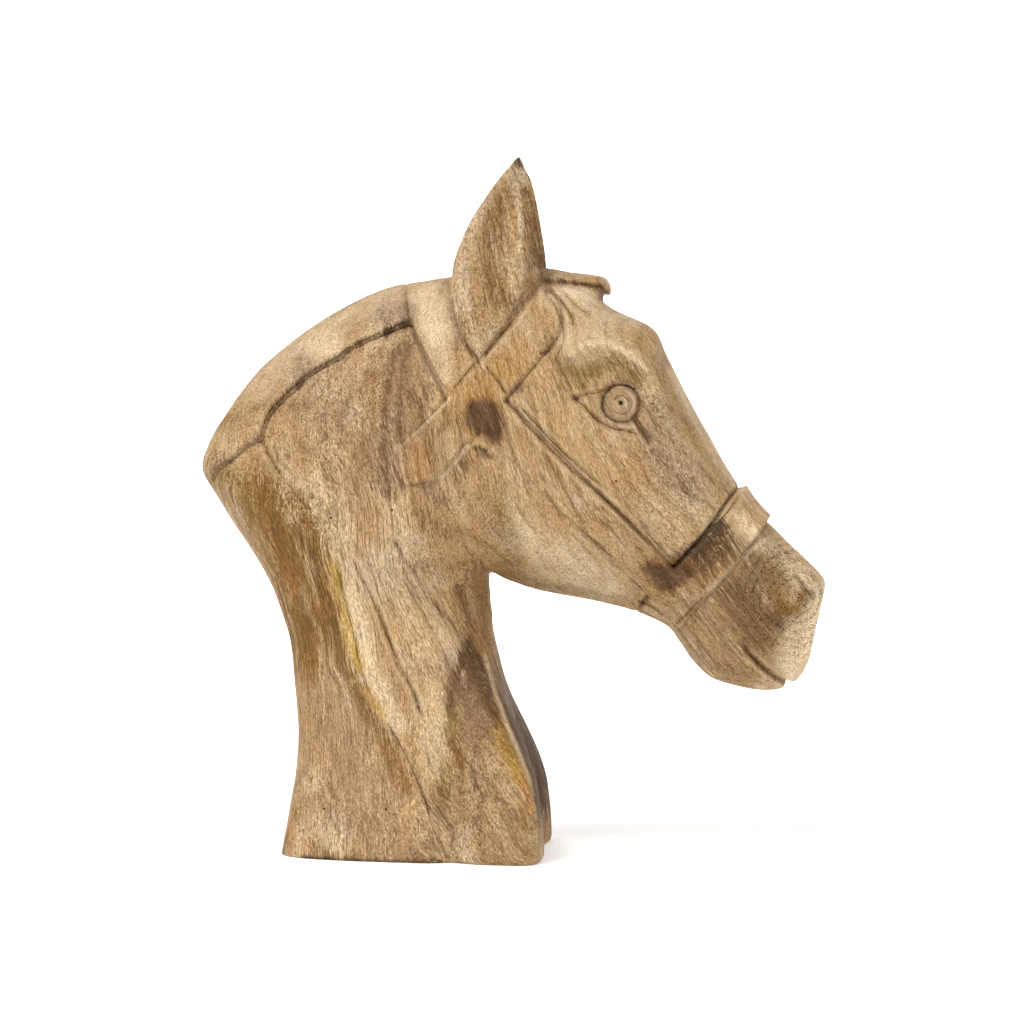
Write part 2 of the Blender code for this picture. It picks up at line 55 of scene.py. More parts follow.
CREST_LINE = [
    (0, -84.9, -10.9), (1, -84.5, -0.5), (2, -81.9, 15.0), (3, -79.3, 31.7),
    (4, -78.9, 46.5), (5, -80.4, 63.1), (6, -83.0, 81.6), (7, -91.2, 102.3),
    (8, -103.0, 120.5), (9, -111.2, 133.1), (10, -114.9, 139.3), (11, -115.6, 143.0),
    (12, -114.0, 148.8), (13, -106.9, 161.9), (14, -93.0, 179.6), (15, -72.8, 195.4),
    (16, -50.4, 207.1), (17, -30.4, 211.5), (18, -8.2, 214.1), (19, 12.2, 213.0),
    (20, 27.5, 208.0), (21, 37.8, 200.0), (22, 51.9, 193.0), (23, 57.4, 182.6),
    (24, 68.1, 161.6), (25, 81.4, 138.6), (26, 88.8, 127.5), (27, 98.8, 117.2),
    (28, 108.0, 108.2), (29, 113.9, 102.2), (30, 115.3, 98.5), (31, 113.8, 92.0),
    (32, 111.9, 83.1), (33, 110.1, 75.0),
]
THROAT_LINE = [
    (0, 16.0, -10.9), (1, 16.0, -0.5), (3, 12.8, 31.7), (4, 6.2, 47.6),
    (5, -1.4, 63.1), (6, -5.8, 76.1), (8, -7.4, 88.3), (11, -8.0, 95.0),
    (14, -8.4, 100.0), (17, -7.4, 102.9), (19, -1.4, 100.0), (21, 12.2, 95.9),
    (22, 23.3, 93.9), (23, 31.5, 92.3), (24, 43.7, 89.2), (25, 56.3, 84.2),
    (26, 62.0, 77.5), (27, 67.0, 70.6), (28, 73.8, 64.2), (29, 84.5, 61.0),
    (30, 93.8, 59.9), (31, 101.5, 61.3), (32, 106.4, 65.3), (33, 108.9, 69.8),
]
HALF_WIDTHS = [
    (0, FOOT_HALF_WIDTH), (1, FOOT_HALF_WIDTH),
    (3, 45.0), (4, 40.5), (5, 36.5), (6, 34.0), (8, 32.5), (11, 31.5), (14, 31.0),
    (17, 30.0), (19, 31.0), (21, 33.5), (22, 34.0), (23, 33.0), (24, 28.5),
    (25, 23.5), (27, 20.5), (28, 21.5), (29, 21.0), (30, 19.0), (31, 16.0),
    (32, 11.5), (33, 6.5),
]
TAPER = [(0, 0.40), (3, 0.33), (5, 0.16), (7, 0.05), (9, 0.0), (10, 0.0), (33, 0.0)]
WIDEST_AT = [
    (0, 0.80), (3, 0.76), (5, 0.62), (7, 0.52), (11, 0.58), (14, 0.62), (17, 0.56),
    (19, 0.48), (21, 0.36), (23, 0.36), (25, 0.46), (28, 0.42), (33, 0.5),
]
CREST_FULLNESS = [
    (0, 5.0), (3, 4.0), (6, 2.6), (9, 1.9), (14, 1.7), (17, 2.0), (19, 2.6),
    (22, 2.8), (25, 2.5), (28, 2.8), (31, 3.0), (33, 2.4),
]
THROAT_FULLNESS = [
    (0, 4.0), (3, 3.4), (6, 2.3), (14, 2.0), (21, 2.3), (25, 2.3), (29, 2.4), (33, 2.0),
]
CLEFT_SHARE = [
    (0, 1.0), (1, 1.0), (3, 0.8), (4, 0.5), (5, 0.15), (6, 0.0), (7, 0.0), (33, 0.0),
]
CLEFT_DEPTH = 10.0
CLEFT_HALF_WIDTH = 19.0
CLEFT_STARTS, CLEFT_IS_FULL = 0.6, 0.95
SEAM_GAP = 1e-4


def through(knots, at):
    """Values of a smooth curve through (rib, value, ...) knots, at each rib in at."""
    knots = np.array(knots, float)
    ribs, values = knots[:, 0], knots[:, 1:]
    gaps = np.diff(ribs)[:, None]
    slopes = np.diff(values, axis=0) / gaps
    middle = (gaps[1:] * slopes[:-1] + gaps[:-1] * slopes[1:]) / (gaps[1:] + gaps[:-1])
    tangents = np.vstack([slopes[:1], middle, slopes[-1:]])
    span = np.clip(np.searchsorted(ribs, at, side="right") - 1, 0, len(ribs) - 2)
    gap = gaps[span]
    t = (np.asarray(at)[:, None] - ribs[span][:, None]) / gap
    return (
        (2 * t**3 - 3 * t**2 + 1) * values[span]
        + (t**3 - 2 * t**2 + t) * gap * tangents[span]
        + (3 * t**2 - 2 * t**3) * values[span + 1]
        + (t**3 - t**2) * gap * tangents[span + 1]
    )


def ease(low, high, value):
    """0 below low, 1 above high, and smooth between."""
    t = np.clip((value - low) / (high - low), 0, 1)
    return t * t * (3 - 2 * t)


def fading(distance, width):
    """1 at no distance, and falling off smoothly over the width."""
    return np.exp(-((distance / width) ** 2))


def circle(count):
    """Cosines and sines of equal steps round a circle."""
    turn = np.arange(count) * 2 * math.pi / count
    return np.cos(turn), np.sin(turn)


def move_points(mesh, places):
    """Puts each point of a mesh at its place."""
    mesh.vertices.foreach_set("co", places.astype(np.float32).ravel())
    mesh.update()


def lofted(name, rings):
    """A closed form through rings of points: a grid rolled up, seamed and capped."""
    rings = np.array(rings)
    rings = np.concatenate([rings, rings[:, :1]], axis=1)
    rows, count = rings.shape[:2]
    bpy.ops.object.select_all(action="DESELECT")
    bpy.ops.mesh.primitive_grid_add(x_subdivisions=count - 1, y_subdivisions=rows - 1)
    form = bpy.context.object
    form.name = name
    move_points(form.data, rings)
    bpy.ops.object.mode_set(mode="EDIT")
    bpy.ops.mesh.select_all(action="SELECT")
    bpy.ops.mesh.remove_doubles(threshold=SEAM_GAP)
    bpy.ops.mesh.fill_holes(sides=0)
    bpy.ops.mesh.select_all(action="SELECT")
    bpy.ops.mesh.normals_make_consistent(inside=False)
    bpy.ops.object.mode_set(mode="OBJECT")
    return form


def neck_rings():
    """Rings of points from under the foot to the lips, square to the way they follow."""
    last_rib = CREST_LINE[-1][0]
    at = np.linspace(0, last_rib, last_rib * RIB_STEPS + 1)
    crest, throat = through(CREST_LINE, at), through(THROAT_LINE, at)
    half_width = through(HALF_WIDTHS, at)[:, 0]
    widest = through(WIDEST_AT, at)[:, 0]
    crest_power = 2 / through(CREST_FULLNESS, at)[:, 0]
    throat_power = 2 / through(THROAT_FULLNESS, at)[:, 0]
    taper = through(TAPER, at)[:, 0]
    cleft = through(CLEFT_SHARE, at)[:, 0] * CLEFT_DEPTH
    cos, sin = circle(RING_POINTS)
    rings = []
    for i in range(len(at)):
        power = np.where(cos >= 0, crest_power[i], throat_power[i])
        reach = np.abs(cos) ** power
        before = widest[i] * (1 - reach)
        after = widest[i] + (1 - widest[i]) * reach
        share = np.where(cos >= 0, before, after)
        y = half_width[i] * np.sign(sin) * np.abs(sin) ** power
        y *= 1 - taper[i] * (1 - share)
        span = throat[i] - crest[i]
        parting = fading(y, CLEFT_HALF_WIDTH) * ease(CLEFT_STARTS, CLEFT_IS_FULL, share)
        share = share - cleft[i] * parting / np.linalg.norm(span)
        x = crest[i, 0] + span[0] * share
        z = crest[i, 1] + span[1] * share
        rings.append(np.column_stack([x, y, z]))
    return rings


neck = lofted("horse_head_wood", neck_rings())

# The ears
# Two upright ears are left standing from the same block. Each is a leaf with a rounded
# back, a ridge down its outer side and a flat front facet turned in towards the brow.
EAR_RIBS = [
    (178.0, -12.5, -10.0, 0.55, 4.0), (186.0, -16.5, -5.5, 0.85, 3.0),
    (192.0, -18.8, -0.2, 1.0, 2.0), (200.0, -20.2, 5.0, 1.0, 1.0),
    (208.0, -20.6, 9.8, 0.95, 0.2), (215.0, -20.0, 11.8, 0.86, 0.0),
    (223.0, -17.4, 11.4, 0.74, 0.0), (231.0, -13.8, 10.2, 0.62, 0.3),
    (239.0, -8.6, 8.7, 0.48, 0.8), (246.0, -3.6, 7.2, 0.33, 1.3),
    (251.0, 0.6, 5.8, 0.2, 1.8), (254.2, 3.2, 4.2, 0.06, 2.0),
]
EAR_RIDGE = [
    (178.0, 0.75), (205.0, 0.75), (211.0, 0.72), (222.0, 0.58), (232.0, 0.48), (255.0, 0.2),
]
EAR_OUT = 21.5
EAR_HALF_THICKNESS = 7.5
EAR_TURN = 0.25
EAR_ROOT = (179.0, 184.0)
EAR_POINTS = 48
EAR_RINGS = 66
EAR_FRONT_ROUNDING = 0.8


def ear_section(z):
    """Middle x, middle distance from the centre, half length and half thickness at z."""
    low, high = EAR_RIBS[0][0], EAR_RIBS[-1][0]
    back, front, thick, lean = through(EAR_RIBS, np.clip(z, low, high)).T
    middle, length = (back + front) / 2, (front - back) / 2
    return middle, EAR_OUT + lean, length, thick * EAR_HALF_THICKNESS


def ear_swell(z, share):
    """Thickness of the outer side, from the back (-1) by the ridge to the front (1)."""
    ridge = through(EAR_RIDGE, z)[:, 0]
    behind = np.sqrt(np.clip(1 - ((share - ridge) / (1 + ridge)) ** 2, 0, 1))
    ahead = np.clip((1 - share) / (1 - ridge), 0, 1) ** EAR_FRONT_ROUNDING
    return np.where(share < ridge, behind, ahead)


def ear_rings(side):
    """Rings of points up one ear, -1 for the right ear and 1 for the left."""
    cos, sin = circle(EAR_POINTS)
    rings = []
    for z in np.linspace(EAR_RIBS[0][0], EAR_RIBS[-1][0], EAR_RINGS):
        middle, out, length, thick = (value[0] for value in ear_section(np.array([z])))
        height = np.full_like(cos, z)
        swell = np.where(sin > 0, ear_swell(height, cos), sin)
        y = out - EAR_TURN * length * cos + thick * swell
        rings.append(np.column_stack([middle + length * cos, side * y, height]))
    return rings


ears = [lofted("ear", ear_rings(side)) for side in (-1, 1)]

# The forelock
# A short blunt tuft of hair is left lying forward between the ears, over the brow.
# It is part of the same block and is undercut a little where it meets the forehead.
FORELOCK_RIBS = [
    (0, 2.0, 214.5, 200.0, 0.7), (1, 12.0, 215.6, 199.0, 0.85), (2, 22.0, 213.8, 200.0, 1.0),
    (3, 29.0, 213.0, 203.0, 0.97), (4, 34.3, 211.9, 204.4, 0.9), (5, 36.4, 209.4, 206.0, 0.62),
]
FORELOCK_HALF_WIDTH = 14.0
FORELOCK_SQUARENESS = 0.8
FORELOCK_RINGS = 31
FORELOCK_POINTS = 48


def forelock_rings():
    """Rings of points from the poll to the blunt end of the tuft."""
    cos, sin = circle(FORELOCK_POINTS)
    across = np.sign(cos) * np.abs(cos) ** FORELOCK_SQUARENESS
    upwards = np.sign(sin) * np.abs(sin) ** FORELOCK_SQUARENESS
    rings = []
    ribs = through(FORELOCK_RIBS, np.linspace(0, FORELOCK_RIBS[-1][0], FORELOCK_RINGS))
    for x, top, under, share in ribs:
        z = (top + under) / 2 + (top - under) / 2 * upwards
        y = share * FORELOCK_HALF_WIDTH * across
        rings.append(np.column_stack([np.full_like(y, x), y, z]))
    return rings


forelock = lofted("forelock", forelock_rings())

# The blank
# The rough forms are one block in the real piece, so they are joined into one skin,
# which is rubbed down a little before the carving starts.
CHISEL_STEP = 0.62
RUBBING = 3
RUBBING_STRENGTH = 0.5
FAR_OFF = 1000.0
LATTICE = 48

bpy.ops.object.select_all(action="DESELECT")
for form in (*ears, forelock, neck):
    form.select_set(True)
bpy.context.view_layer.objects.active = neck
bpy.ops.object.join()
skin = neck.modifiers.new("skin", "REMESH")
skin.mode = "VOXEL"
skin.voxel_size = CHISEL_STEP
rubbing = neck.modifiers.new("rubbing", "SMOOTH")
rubbing.factor = RUBBING_STRENGTH
rubbing.iterations = RUBBING
for modifier in ("skin", "rubbing"):
    bpy.ops.object.modifier_apply(modifier=modifier)


def read(mesh, what):
    """Places or normals of a mesh's points, one row each."""
    values = np.empty(len(mesh.vertices) * 3, np.float32)
    mesh.vertices.foreach_get(what, values)
    return values.reshape(-1, 3).astype(float)


def smooth_path(path, steps=5):
    """The same path with rounded turns."""
    numbered = [(i, *point) for i, point in enumerate(path)]
    return through(numbered, np.linspace(0, len(path) - 1, (len(path) - 1) * steps + 1))


def from_path(points, path, reach=20.0):
    """Distance of side-view points from a path, their side of it (+ left), and how far
    along it they are. Points further off than the reach are left out."""
    path = np.array(path, float)
    lengths = np.linalg.norm(np.diff(path, axis=0), axis=1)
    run = np.concatenate([[0], np.cumsum(lengths)])
    low, high = path.min(0) - reach, path.max(0) + reach
    near = np.flatnonzero(((points > low) & (points < high)).all(axis=1))
    best = np.full(len(near), np.inf)
    side, along = np.zeros(len(near)), np.zeros(len(near))
    for i, (start, end) in enumerate(zip(path, path[1:])):
        way = end - start
        off = points[near] - start
        share = np.clip((off @ way) / (way @ way), 0, 1)
        off -= share[:, None] * way
        distance = np.hypot(off[:, 0], off[:, 1])
        nearer = distance < best
        best[nearer] = distance[nearer]
        turned = way[0] * off[:, 1] - way[1] * off[:, 0]
        side[nearer] = np.sign(turned[nearer])
        along[nearer] = (run[i] + share[nearer] * lengths[i]) / run[-1]
    everywhere = np.zeros((3, len(points)))
    everywhere[0] = FAR_OFF
    everywhere[:, near] = best, side, along
    return everywhere


def groove(points, path, width, depth, end_depth=None):
    """A cut along a path, negative; it may deepen or run out towards its end."""
    distance, _, along = from_path(points, smooth_path(path))
    end_depth = depth if end_depth is None else end_depth
    return -(depth + (end_depth - depth) * along) * fading(distance, width)


def dome(points, centre, radius):
    """1 at the centre, falling as a sphere's cap to 0 at the radius."""
    distance = np.linalg.norm(points - np.array(centre), axis=1) / radius
    return np.sqrt(np.clip(1 - distance**2, 0, 1))


def unevenness(place, size, seed):
    """Soft random hills and dips between -1 and 1, about size apart."""
    lattice = np.random.default_rng(seed).uniform(-1, 1, (LATTICE, LATTICE, LATTICE))
    at = place / size
    low = np.floor(at).astype(int)
    share = at - low
    share = share * share * (3 - 2 * share)
    total = np.zeros(len(place))
    for corner in itertools.product((0, 1), repeat=3):
        weight = np.where(np.array(corner) == 1, share, 1 - share).prod(axis=1)
        total += weight * lattice[tuple(((low + corner) % LATTICE).T)]
    return total


# The mane
# The mane is one smooth roll of hair behind the crown strap. It is parted from the neck
# by a ragged cut that was split rather than carved, dark with dust and old oil.
CROWN_STRAP = [(-31.5, 222.0), (-30.5, 208.0), (-27.8, 196.0), (-23.2, 185.8), (-14.0, 168.0)]
STRAP_HALF_WIDTH = 8.0
MANE_CRACK = [
    (-35.3, 195.0), (-39.8, 194.0), (-44.2, 192.0), (-48.8, 190.3), (-53.2, 188.1),
    (-58.3, 185.6), (-63.6, 182.0), (-69.5, 178.7), (-75.3, 175.1), (-78.2, 172.0),
    (-83.0, 168.1), (-87.1, 163.7), (-89.3, 160.1), (-91.0, 155.3), (-92.6, 152.0),
]
MANE_CRUMBLE = [
    (-91.0, 153.6), (-97.3, 150.3), (-101.5, 147.0), (-106.1, 143.7), (-109.8, 140.8),
    (-112.5, 134.0),
]
MANE_LOW = 118.0
MANE_RISE = 1.7
MANE_STEP_WIDTH = 14.0
MANE_REACH = 45.0
CROWN_REACH = 150.0
CROWN_EASE = 0.6
CRACK_CUT = (0.6, 0.95)
CRUMBLE_CUT = (1.9, 0.7, 0.4)
RAGGED_SIZE = 2.6
RAGGED_BY = 0.9
WITHERS_RAGGED = 0.4
WITHERS_LINE = [
    (-91.9, 152.0), (-87.3, 145.0), (-84.0, 140.2), (-80.4, 135.5), (-76.5, 131.1),
    (-73.4, 126.7),
]
WITHERS_SECOND = [(-85.0, 145.0), (-81.0, 141.3), (-76.6, 136.9)]
WITHERS_CUT = (1.5, 1.2, 0.4)
SECOND_CUT = (0.8, 0.5)


def behind_crown(seen):
    """1 behind the crown strap, where the mane is cut, and 0 on the rest of the head."""
    off_strap, strap_side, _ = from_path(seen, CROWN_STRAP, CROWN_REACH)
    low, high = STRAP_HALF_WIDTH - CROWN_EASE, STRAP_HALF_WIDTH + CROWN_EASE
    return ease(low, high, -strap_side * off_strap) * (seen[:, 1] > MANE_LOW)


def mane(seen, sideways, ragged):
    """How far the mane's cuts and rises move the skin."""
    behind = behind_crown(seen)
    distance, side, _ = from_path(seen, smooth_path(MANE_CRACK + MANE_CRUMBLE[1:]), MANE_REACH)
    below = (side > 0) * fading(distance, MANE_STEP_WIDTH) * behind
    cuts = groove(seen + ragged, MANE_CRACK, *CRACK_CUT) * behind
    cuts += groove(seen + ragged, MANE_CRUMBLE, *CRUMBLE_CUT)
    cuts += groove(seen + WITHERS_RAGGED * ragged, WITHERS_LINE, *WITHERS_CUT)
    cuts += groove(seen, WITHERS_SECOND, *SECOND_CUT)
    return sideways * cuts, -sideways * below * MANE_RISE


# The bridle
# A crown strap, a strap from the brow under the throat, a cheek strap and a noseband are
# all cut in low relief. Each is flat, with a knife cut along both of its edges.
THROAT_STRAP = [
    (-30.7, 142.9), (-18.1, 157.9), (-5.5, 172.8), (6.5, 187.0), (11.4, 194.0),
    (9.6, 200.5), (4.0, 205.0),
]
CHEEK_STRAP = [(-6.2, 161.0), (57.6, 97.2)]
NOSEBAND = [(45.2, 75.6), (60.2, 93.6), (76.3, 111.4), (89.5, 128.9), (107.1, 149.2)]
STRAP_RISE = 0.8
NOSEBAND_RISE = 3.6
EDGE_CUT = 1.1
EDGE_HALF_WIDTH = 0.72
EDGE_ON_TURNED_WOOD = 0.2
STRAP_REACH = 24.0
STRAP_EASE = 0.5
THIN_CUT, THIN_TO, FULL_FROM = 0.15, 0.45, 0.7
WORN_CUT, WORN_TO, SHARP_FROM = 0.3, 0.15, 0.4
STRAPS = [
    (CROWN_STRAP, STRAP_HALF_WIDTH, 0.4, 1.2),
    (THROAT_STRAP, STRAP_HALF_WIDTH, 1.0, 0.9),
    (CHEEK_STRAP, 6.7, 1.35, 0.5),
    (NOSEBAND, 7.6, 2.1, 0.6),
]
BRANCH_LINE = [(47.8, 121.3), (51.3, 116.7), (55.6, 112.0), (59.2, 108.0)]
CHEEK_SECOND = [
    (4.4, 163.4), (8.5, 158.9), (13.9, 153.0), (19.4, 147.4), (26.5, 140.8), (33.0, 135.0),
]
JAW_NICK = [(46.4, 93.2), (51.2, 90.9), (56.3, 87.4)]
STRAP_SEAM = [(-8.0, 178.2), (-5.8, 175.3), (-3.2, 172.0), (-0.3, 167.7)]
BROWBAND_NOTCH = [(11.5, 182.1), (14.4, 183.4)]
SMALL_CUTS = [
    (BRANCH_LINE, 0.8, 0.7), (CHEEK_SECOND, 0.75, 0.8), (JAW_NICK, 1.0, 0.8),
    (STRAP_SEAM, 0.6, 0.35), (BROWBAND_NOTCH, 1.0, 0.8),
]


def harness(seen, sideways, over_nose):
    """How far the straps stand proud, and how deep their edges are cut."""
    found = []
    for path, half_width, _, _ in STRAPS:
        distance, side, along = from_path(seen, smooth_path(path), STRAP_REACH)
        cover = 1 - ease(half_width - STRAP_EASE, half_width + STRAP_EASE, distance)
        found.append((distance, side, along, cover))
    covers = [strap[3] for strap in found]
    rise = np.max(covers, axis=0) * STRAP_RISE * sideways
    rise += covers[-1] * over_nose * (NOSEBAND_RISE - STRAP_RISE)
    cuts = np.zeros(len(seen))
    for i, (path, half_width, left, right) in enumerate(STRAPS):
        distance, side, along, _ = found[i]
        if path is CHEEK_STRAP:
            right = right * (THIN_CUT + (1 - THIN_CUT) * ease(THIN_TO, FULL_FROM, along))
        if path is THROAT_STRAP:
            sharp = WORN_CUT + (1 - WORN_CUT) * ease(WORN_TO, SHARP_FROM, along)
            left, right = left * sharp, right * sharp
        depth = EDGE_CUT * np.where(side > 0, left, right)
        off_edge = np.abs(distance - half_width - EDGE_HALF_WIDTH / 2)
        edge = fading(off_edge, EDGE_HALF_WIDTH)
        others = np.max(covers[:i] + covers[i + 1:], axis=0)
        shown = EDGE_ON_TURNED_WOOD + (1 - EDGE_ON_TURNED_WOOD) * sideways
        cuts -= edge * depth * (1 - others) * shown
    for path, width, depth in SMALL_CUTS:
        cuts += groove(seen, path, width, depth) * sideways
    return cuts, rise


# The tufts
# The underside of the forelock is undercut with a knife, and three strands of hair are
# scored into the same wood below it.
FORELOCK_FOLD = [(12.0, 209.9), (23.8, 208.6), (32.2, 206.9), (36.0, 203.6)]
TUFT_LINES = [
    [(18.6, 207.0), (23.0, 201.5), (29.5, 196.2)],
    [(14.4, 206.0), (18.9, 202.0), (22.6, 196.4), (24.2, 191.5)],
    [(9.9, 209.2), (14.3, 205.6)],
]
FOLD_CUT = (1.1, 1.4)
TUFT_CUT = (1.0, 1.0)


def tufts(seen):
    """How deep the fold under the forelock and the strands are cut."""
    cuts = groove(seen, FORELOCK_FOLD, *FOLD_CUT)
    for path in TUFT_LINES:
        cuts += groove(seen, path, *TUFT_CUT)
    return cuts


# The eyes
# Each eye is a ball in a shallow socket, with a scored ring and a pricked pupil, under a
# heavy brow and between two knife-cut lids that meet behind it.
EYE = (41.0, 164.3)
EYE_RADIUS = 6.6
EYE_BULGE = 1.7
EYE_CORNER = (24.2, 166.2)
SOCKET = (9.9, 1.0)
BROW_LINE = [
    (21.0, 181.5), (27.0, 184.2), (33.1, 184.9), (41.8, 182.1), (47.9, 178.5),
    (51.8, 173.5), (53.0, 167.0),
]
BROW_RIDGE = (3.6, 2.5)
BROW_HOLLOW = [(33.0, 176.8), (42.5, 176.0), (48.0, 171.5)]
BROW_DIP = (4.8, 2.8)
UPPER_LID = [EYE_CORNER, (28.5, 167.4), (32.8, 168.2), (36.2, 169.9)]
CORNER_LINE = [EYE_CORNER, (28.2, 165.5), (32.5, 165.9), (34.4, 166.6)]
LOWER_LID = [
    EYE_CORNER, (27.4, 163.6), (29.9, 160.6), (32.8, 158.1), (36.0, 156.3), (38.9, 155.0),
    (43.2, 154.4), (47.0, 153.0),
]
TEAR_LINE = [(45.9, 159.6), (46.6, 156.8), (48.9, 154.0), (51.2, 150.6)]
LID_CUTS = [
    (UPPER_LID, 0.75, 0.8), (CORNER_LINE, 0.65, 0.6), (LOWER_LID, 0.8, 1.0), (TEAR_LINE, 1.3, 0.9),
]
EYE_RINGS = [(1.02, 0.8, 1.25), (0.68, 0.6, 0.6)]
PUPIL = (0.9, 0.8)
EYE_LINES = [
    (0.0, 1.8, 0.6, 0.0), (2.6, 0.45, 0.7, 0.6), (4.0, 0.4, 0.65, 2.4), (5.3, 0.3, 0.4, 4.0),
    (6.7, 0.8, 0.95, -0.4), (8.0, 0.35, 0.45, 0.8),
]


def eyes(seen):
    """How far the brow and eyeball stand proud, and how deep the lids are cut."""
    from_eye = np.linalg.norm(seen - np.array(EYE), axis=1)
    rise = dome(seen, EYE, EYE_RADIUS) * EYE_BULGE
    rise -= SOCKET[1] * np.exp(-((from_eye / SOCKET[0]) ** 4))
    rise -= groove(seen, BROW_LINE, *BROW_RIDGE)
    rise += groove(seen, BROW_HOLLOW, *BROW_DIP)
    cuts = np.zeros(len(seen))
    for share, width, depth in EYE_RINGS:
        cuts -= depth * fading(from_eye - share * EYE_RADIUS, width)
    cuts -= PUPIL[1] * fading(from_eye, PUPIL[0])
    for path, width, depth in LID_CUTS:
        cuts += groove(seen, path, width, depth)
    return cuts, rise


# The muzzle
# The nostril is a raised roll with a slit behind it and a flat knife facet in front,
# which runs down to the lips. The mouth is one short deep cut.
NOSTRIL = (102.0, 94.8)
NOSTRIL_RADIUS = 9.0
NOSTRIL_RISE = 2.0
NOSTRIL_POINTEDNESS = 1.5
NOSTRIL_SLIT = [(104.0, 102.1), (106.5, 98.9), (108.3, 96.4), (109.8, 94.5)]
NOSTRIL_CRESCENT = [(97.4, 83.4), (100.3, 85.6), (103.5, 87.8), (105.7, 91.0), (106.4, 93.6)]
LIP_FLAT = [
    (114.0, 97.5), (110.4, 94.8), (107.4, 89.7), (100.9, 86.0), (96.5, 80.0), (94.5, 72.0),
]
LIP_SLOPE = 0.35
LIP_RISE = (64.0, 74.0)
SLIT_CUT = (1.2, 1.9)
CRESCENT_CUT = (1.5, 0.8)
LIP_CUT = (2.2, 0.7, 0.0)
MOUTH_LINE = [
    (85.2, 77.9), (86.9, 74.3), (90.0, 70.9), (93.7, 67.5), (97.8, 64.6), (103.5, 60.8),
]
MOUTH_CUT = (1.3, 1.3, 2.4)
CHIN_LINE = [(67.5, 81.7), (68.6, 76.5), (71.2, 71.3), (75.6, 66.9)]
CHIN_CUT = (0.8, 0.25)


def muzzle(seen, sideways):
    """How far the nostril stands proud, and how deep it, the lips and the mouth are cut."""
    rise = NOSTRIL_RISE * dome(seen, NOSTRIL, NOSTRIL_RADIUS) ** NOSTRIL_POINTEDNESS
    distance, side, _ = from_path(seen, smooth_path(LIP_FLAT))
    ahead = np.where(side > 0, np.minimum(distance, NOSTRIL_RADIUS), 0)
    rise -= ahead * LIP_SLOPE * ease(*LIP_RISE, seen[:, 1])
    cuts = groove(seen, NOSTRIL_SLIT, *SLIT_CUT) + groove(seen, LIP_FLAT, *LIP_CUT)
    cuts += groove(seen, NOSTRIL_CRESCENT, *CRESCENT_CUT) + groove(seen, CHIN_LINE, *CHIN_CUT)
    return cuts * sideways + groove(seen, MOUTH_LINE, *MOUTH_CUT), rise * sideways


# The carving
# Most of the low relief is cut into the blank on both sides alike, and a few cuts on the
# near side only, then the knife leaves its own shallow facets, and the dish of each ear is
# hollowed out with a gouge.
LOBE_EDGE = [
    (-9.0, 73.3), (-7.5, 68.7), (-5.0, 60.9), (-1.9, 53.3), (1.6, 45.3), (5.3, 37.7),
    (8.6, 30.6), (10.8, 23.6), (12.3, 15.5), (13.3, 6.5),
]
LOBE_HOLLOW = [
    (-4.5, 70.0), (-0.5, 60.0), (4.0, 50.0), (9.6, 38.0), (13.6, 26.0), (15.8, 12.0), (16.4, 2.0),
]
SHOULDER_VALLEY = [
    (-10.0, 94.0), (-13.4, 79.2), (-17.5, 57.8), (-20.0, 36.5), (-20.0, 18.0), (-19.5, -8.0),
]
EAR_DISH = [(3.5, 243.0), (-2.5, 228.0), (-4.5, 214.0), (-4.0, 200.0)]
EAR_NOTCHES = [
    [(-4.7, 228.7), (-4.3, 220.1), (-3.9, 212.1), (-5.0, 207.0), (-6.0, 203.3)],
    [(-10.0, 215.5), (-8.5, 214.1), (-7.1, 212.7)],
]
FOOT_SPLIT = [(-29.3, 40.1), (-27.5, 36.2), (-25.7, 32.7)]
THROAT_SPLIT = [(-10.8, 107.8), (-9.1, 103.3)]
KNIFE_SLIP = [(-10.5, 148.7), (-7.9, 147.6), (-5.4, 145.1)]
NEAR_CUTS = [
    ([(-56.5, 109.5), (-54.0, 105.1), (-51.4, 99.7), (-48.9, 94.4), (-46.4, 89.3)], 0.7, 0.3),
    ([(-46.4, 89.3), (-43.8, 82.1), (-41.3, 76.0), (-38.3, 69.2), (-33.5, 60.7), (-29.4, 50.1)],
     0.7, 0.35),
    (FOOT_SPLIT, 0.7, 0.35),
    (THROAT_SPLIT, 0.9, 0.5),
    (KNIFE_SLIP, 0.8, 0.35),
    ([(9.8, 161.6), (12.7, 160.8), (15.9, 160.5)], 0.9, 0.5),
]
SIDEWAYS_FACING = (0.2, 0.65)
NOSE_DIRECTION = (0.87, 0.5)
NOSE_FACING = (0.3, 0.8)
LOBE_HOLLOW_CUT = (2.8, 0.0, 2.2)
SHOULDER_CUT = (6.0, 1.0, 3.4)
EAR_DISH_CUT = (5.2, 2.8)
EAR_WALL_KEPT = 0.85
EAR_FOOT = (1.0, 1.25)
EAR_SEAT = (0.02, 0.98)
OUTER_FACING = (0.2, 0.7)
EAR_KNIFE_WORK = 0.5
SEAT_RUBBING = RUBBING + 2
EAR_NOTCH_CUT = (0.8, 0.35)
FACETS_AND_RIPPLES = [(11.0, 0.22, 3), (3.6, 0.05, 4)]
GOUGE_MARK_SIZE = 2.2
GOUGE_MARK_DEPTH = 0.12


def on_ear(place):
    """1 on the ears and 0 on the head around them, and how far out from mid ear."""
    middle, out, length, thick = ear_section(place[:, 2])
    x = place[:, 0] - middle
    y = np.abs(place[:, 1]) - out + EAR_TURN * x
    share = x / length
    swell = ear_swell(place[:, 2], share).clip(1e-3)
    round_share = np.sqrt(np.clip(1 - share**2, 0, 1))
    thickness = thick * np.where(y > 0, swell, round_share.clip(1e-3))
    radius = np.hypot(share, round_share * y / thickness)
    return (1 - ease(*EAR_FOOT, radius)) * ease(*EAR_ROOT, place[:, 2]), y


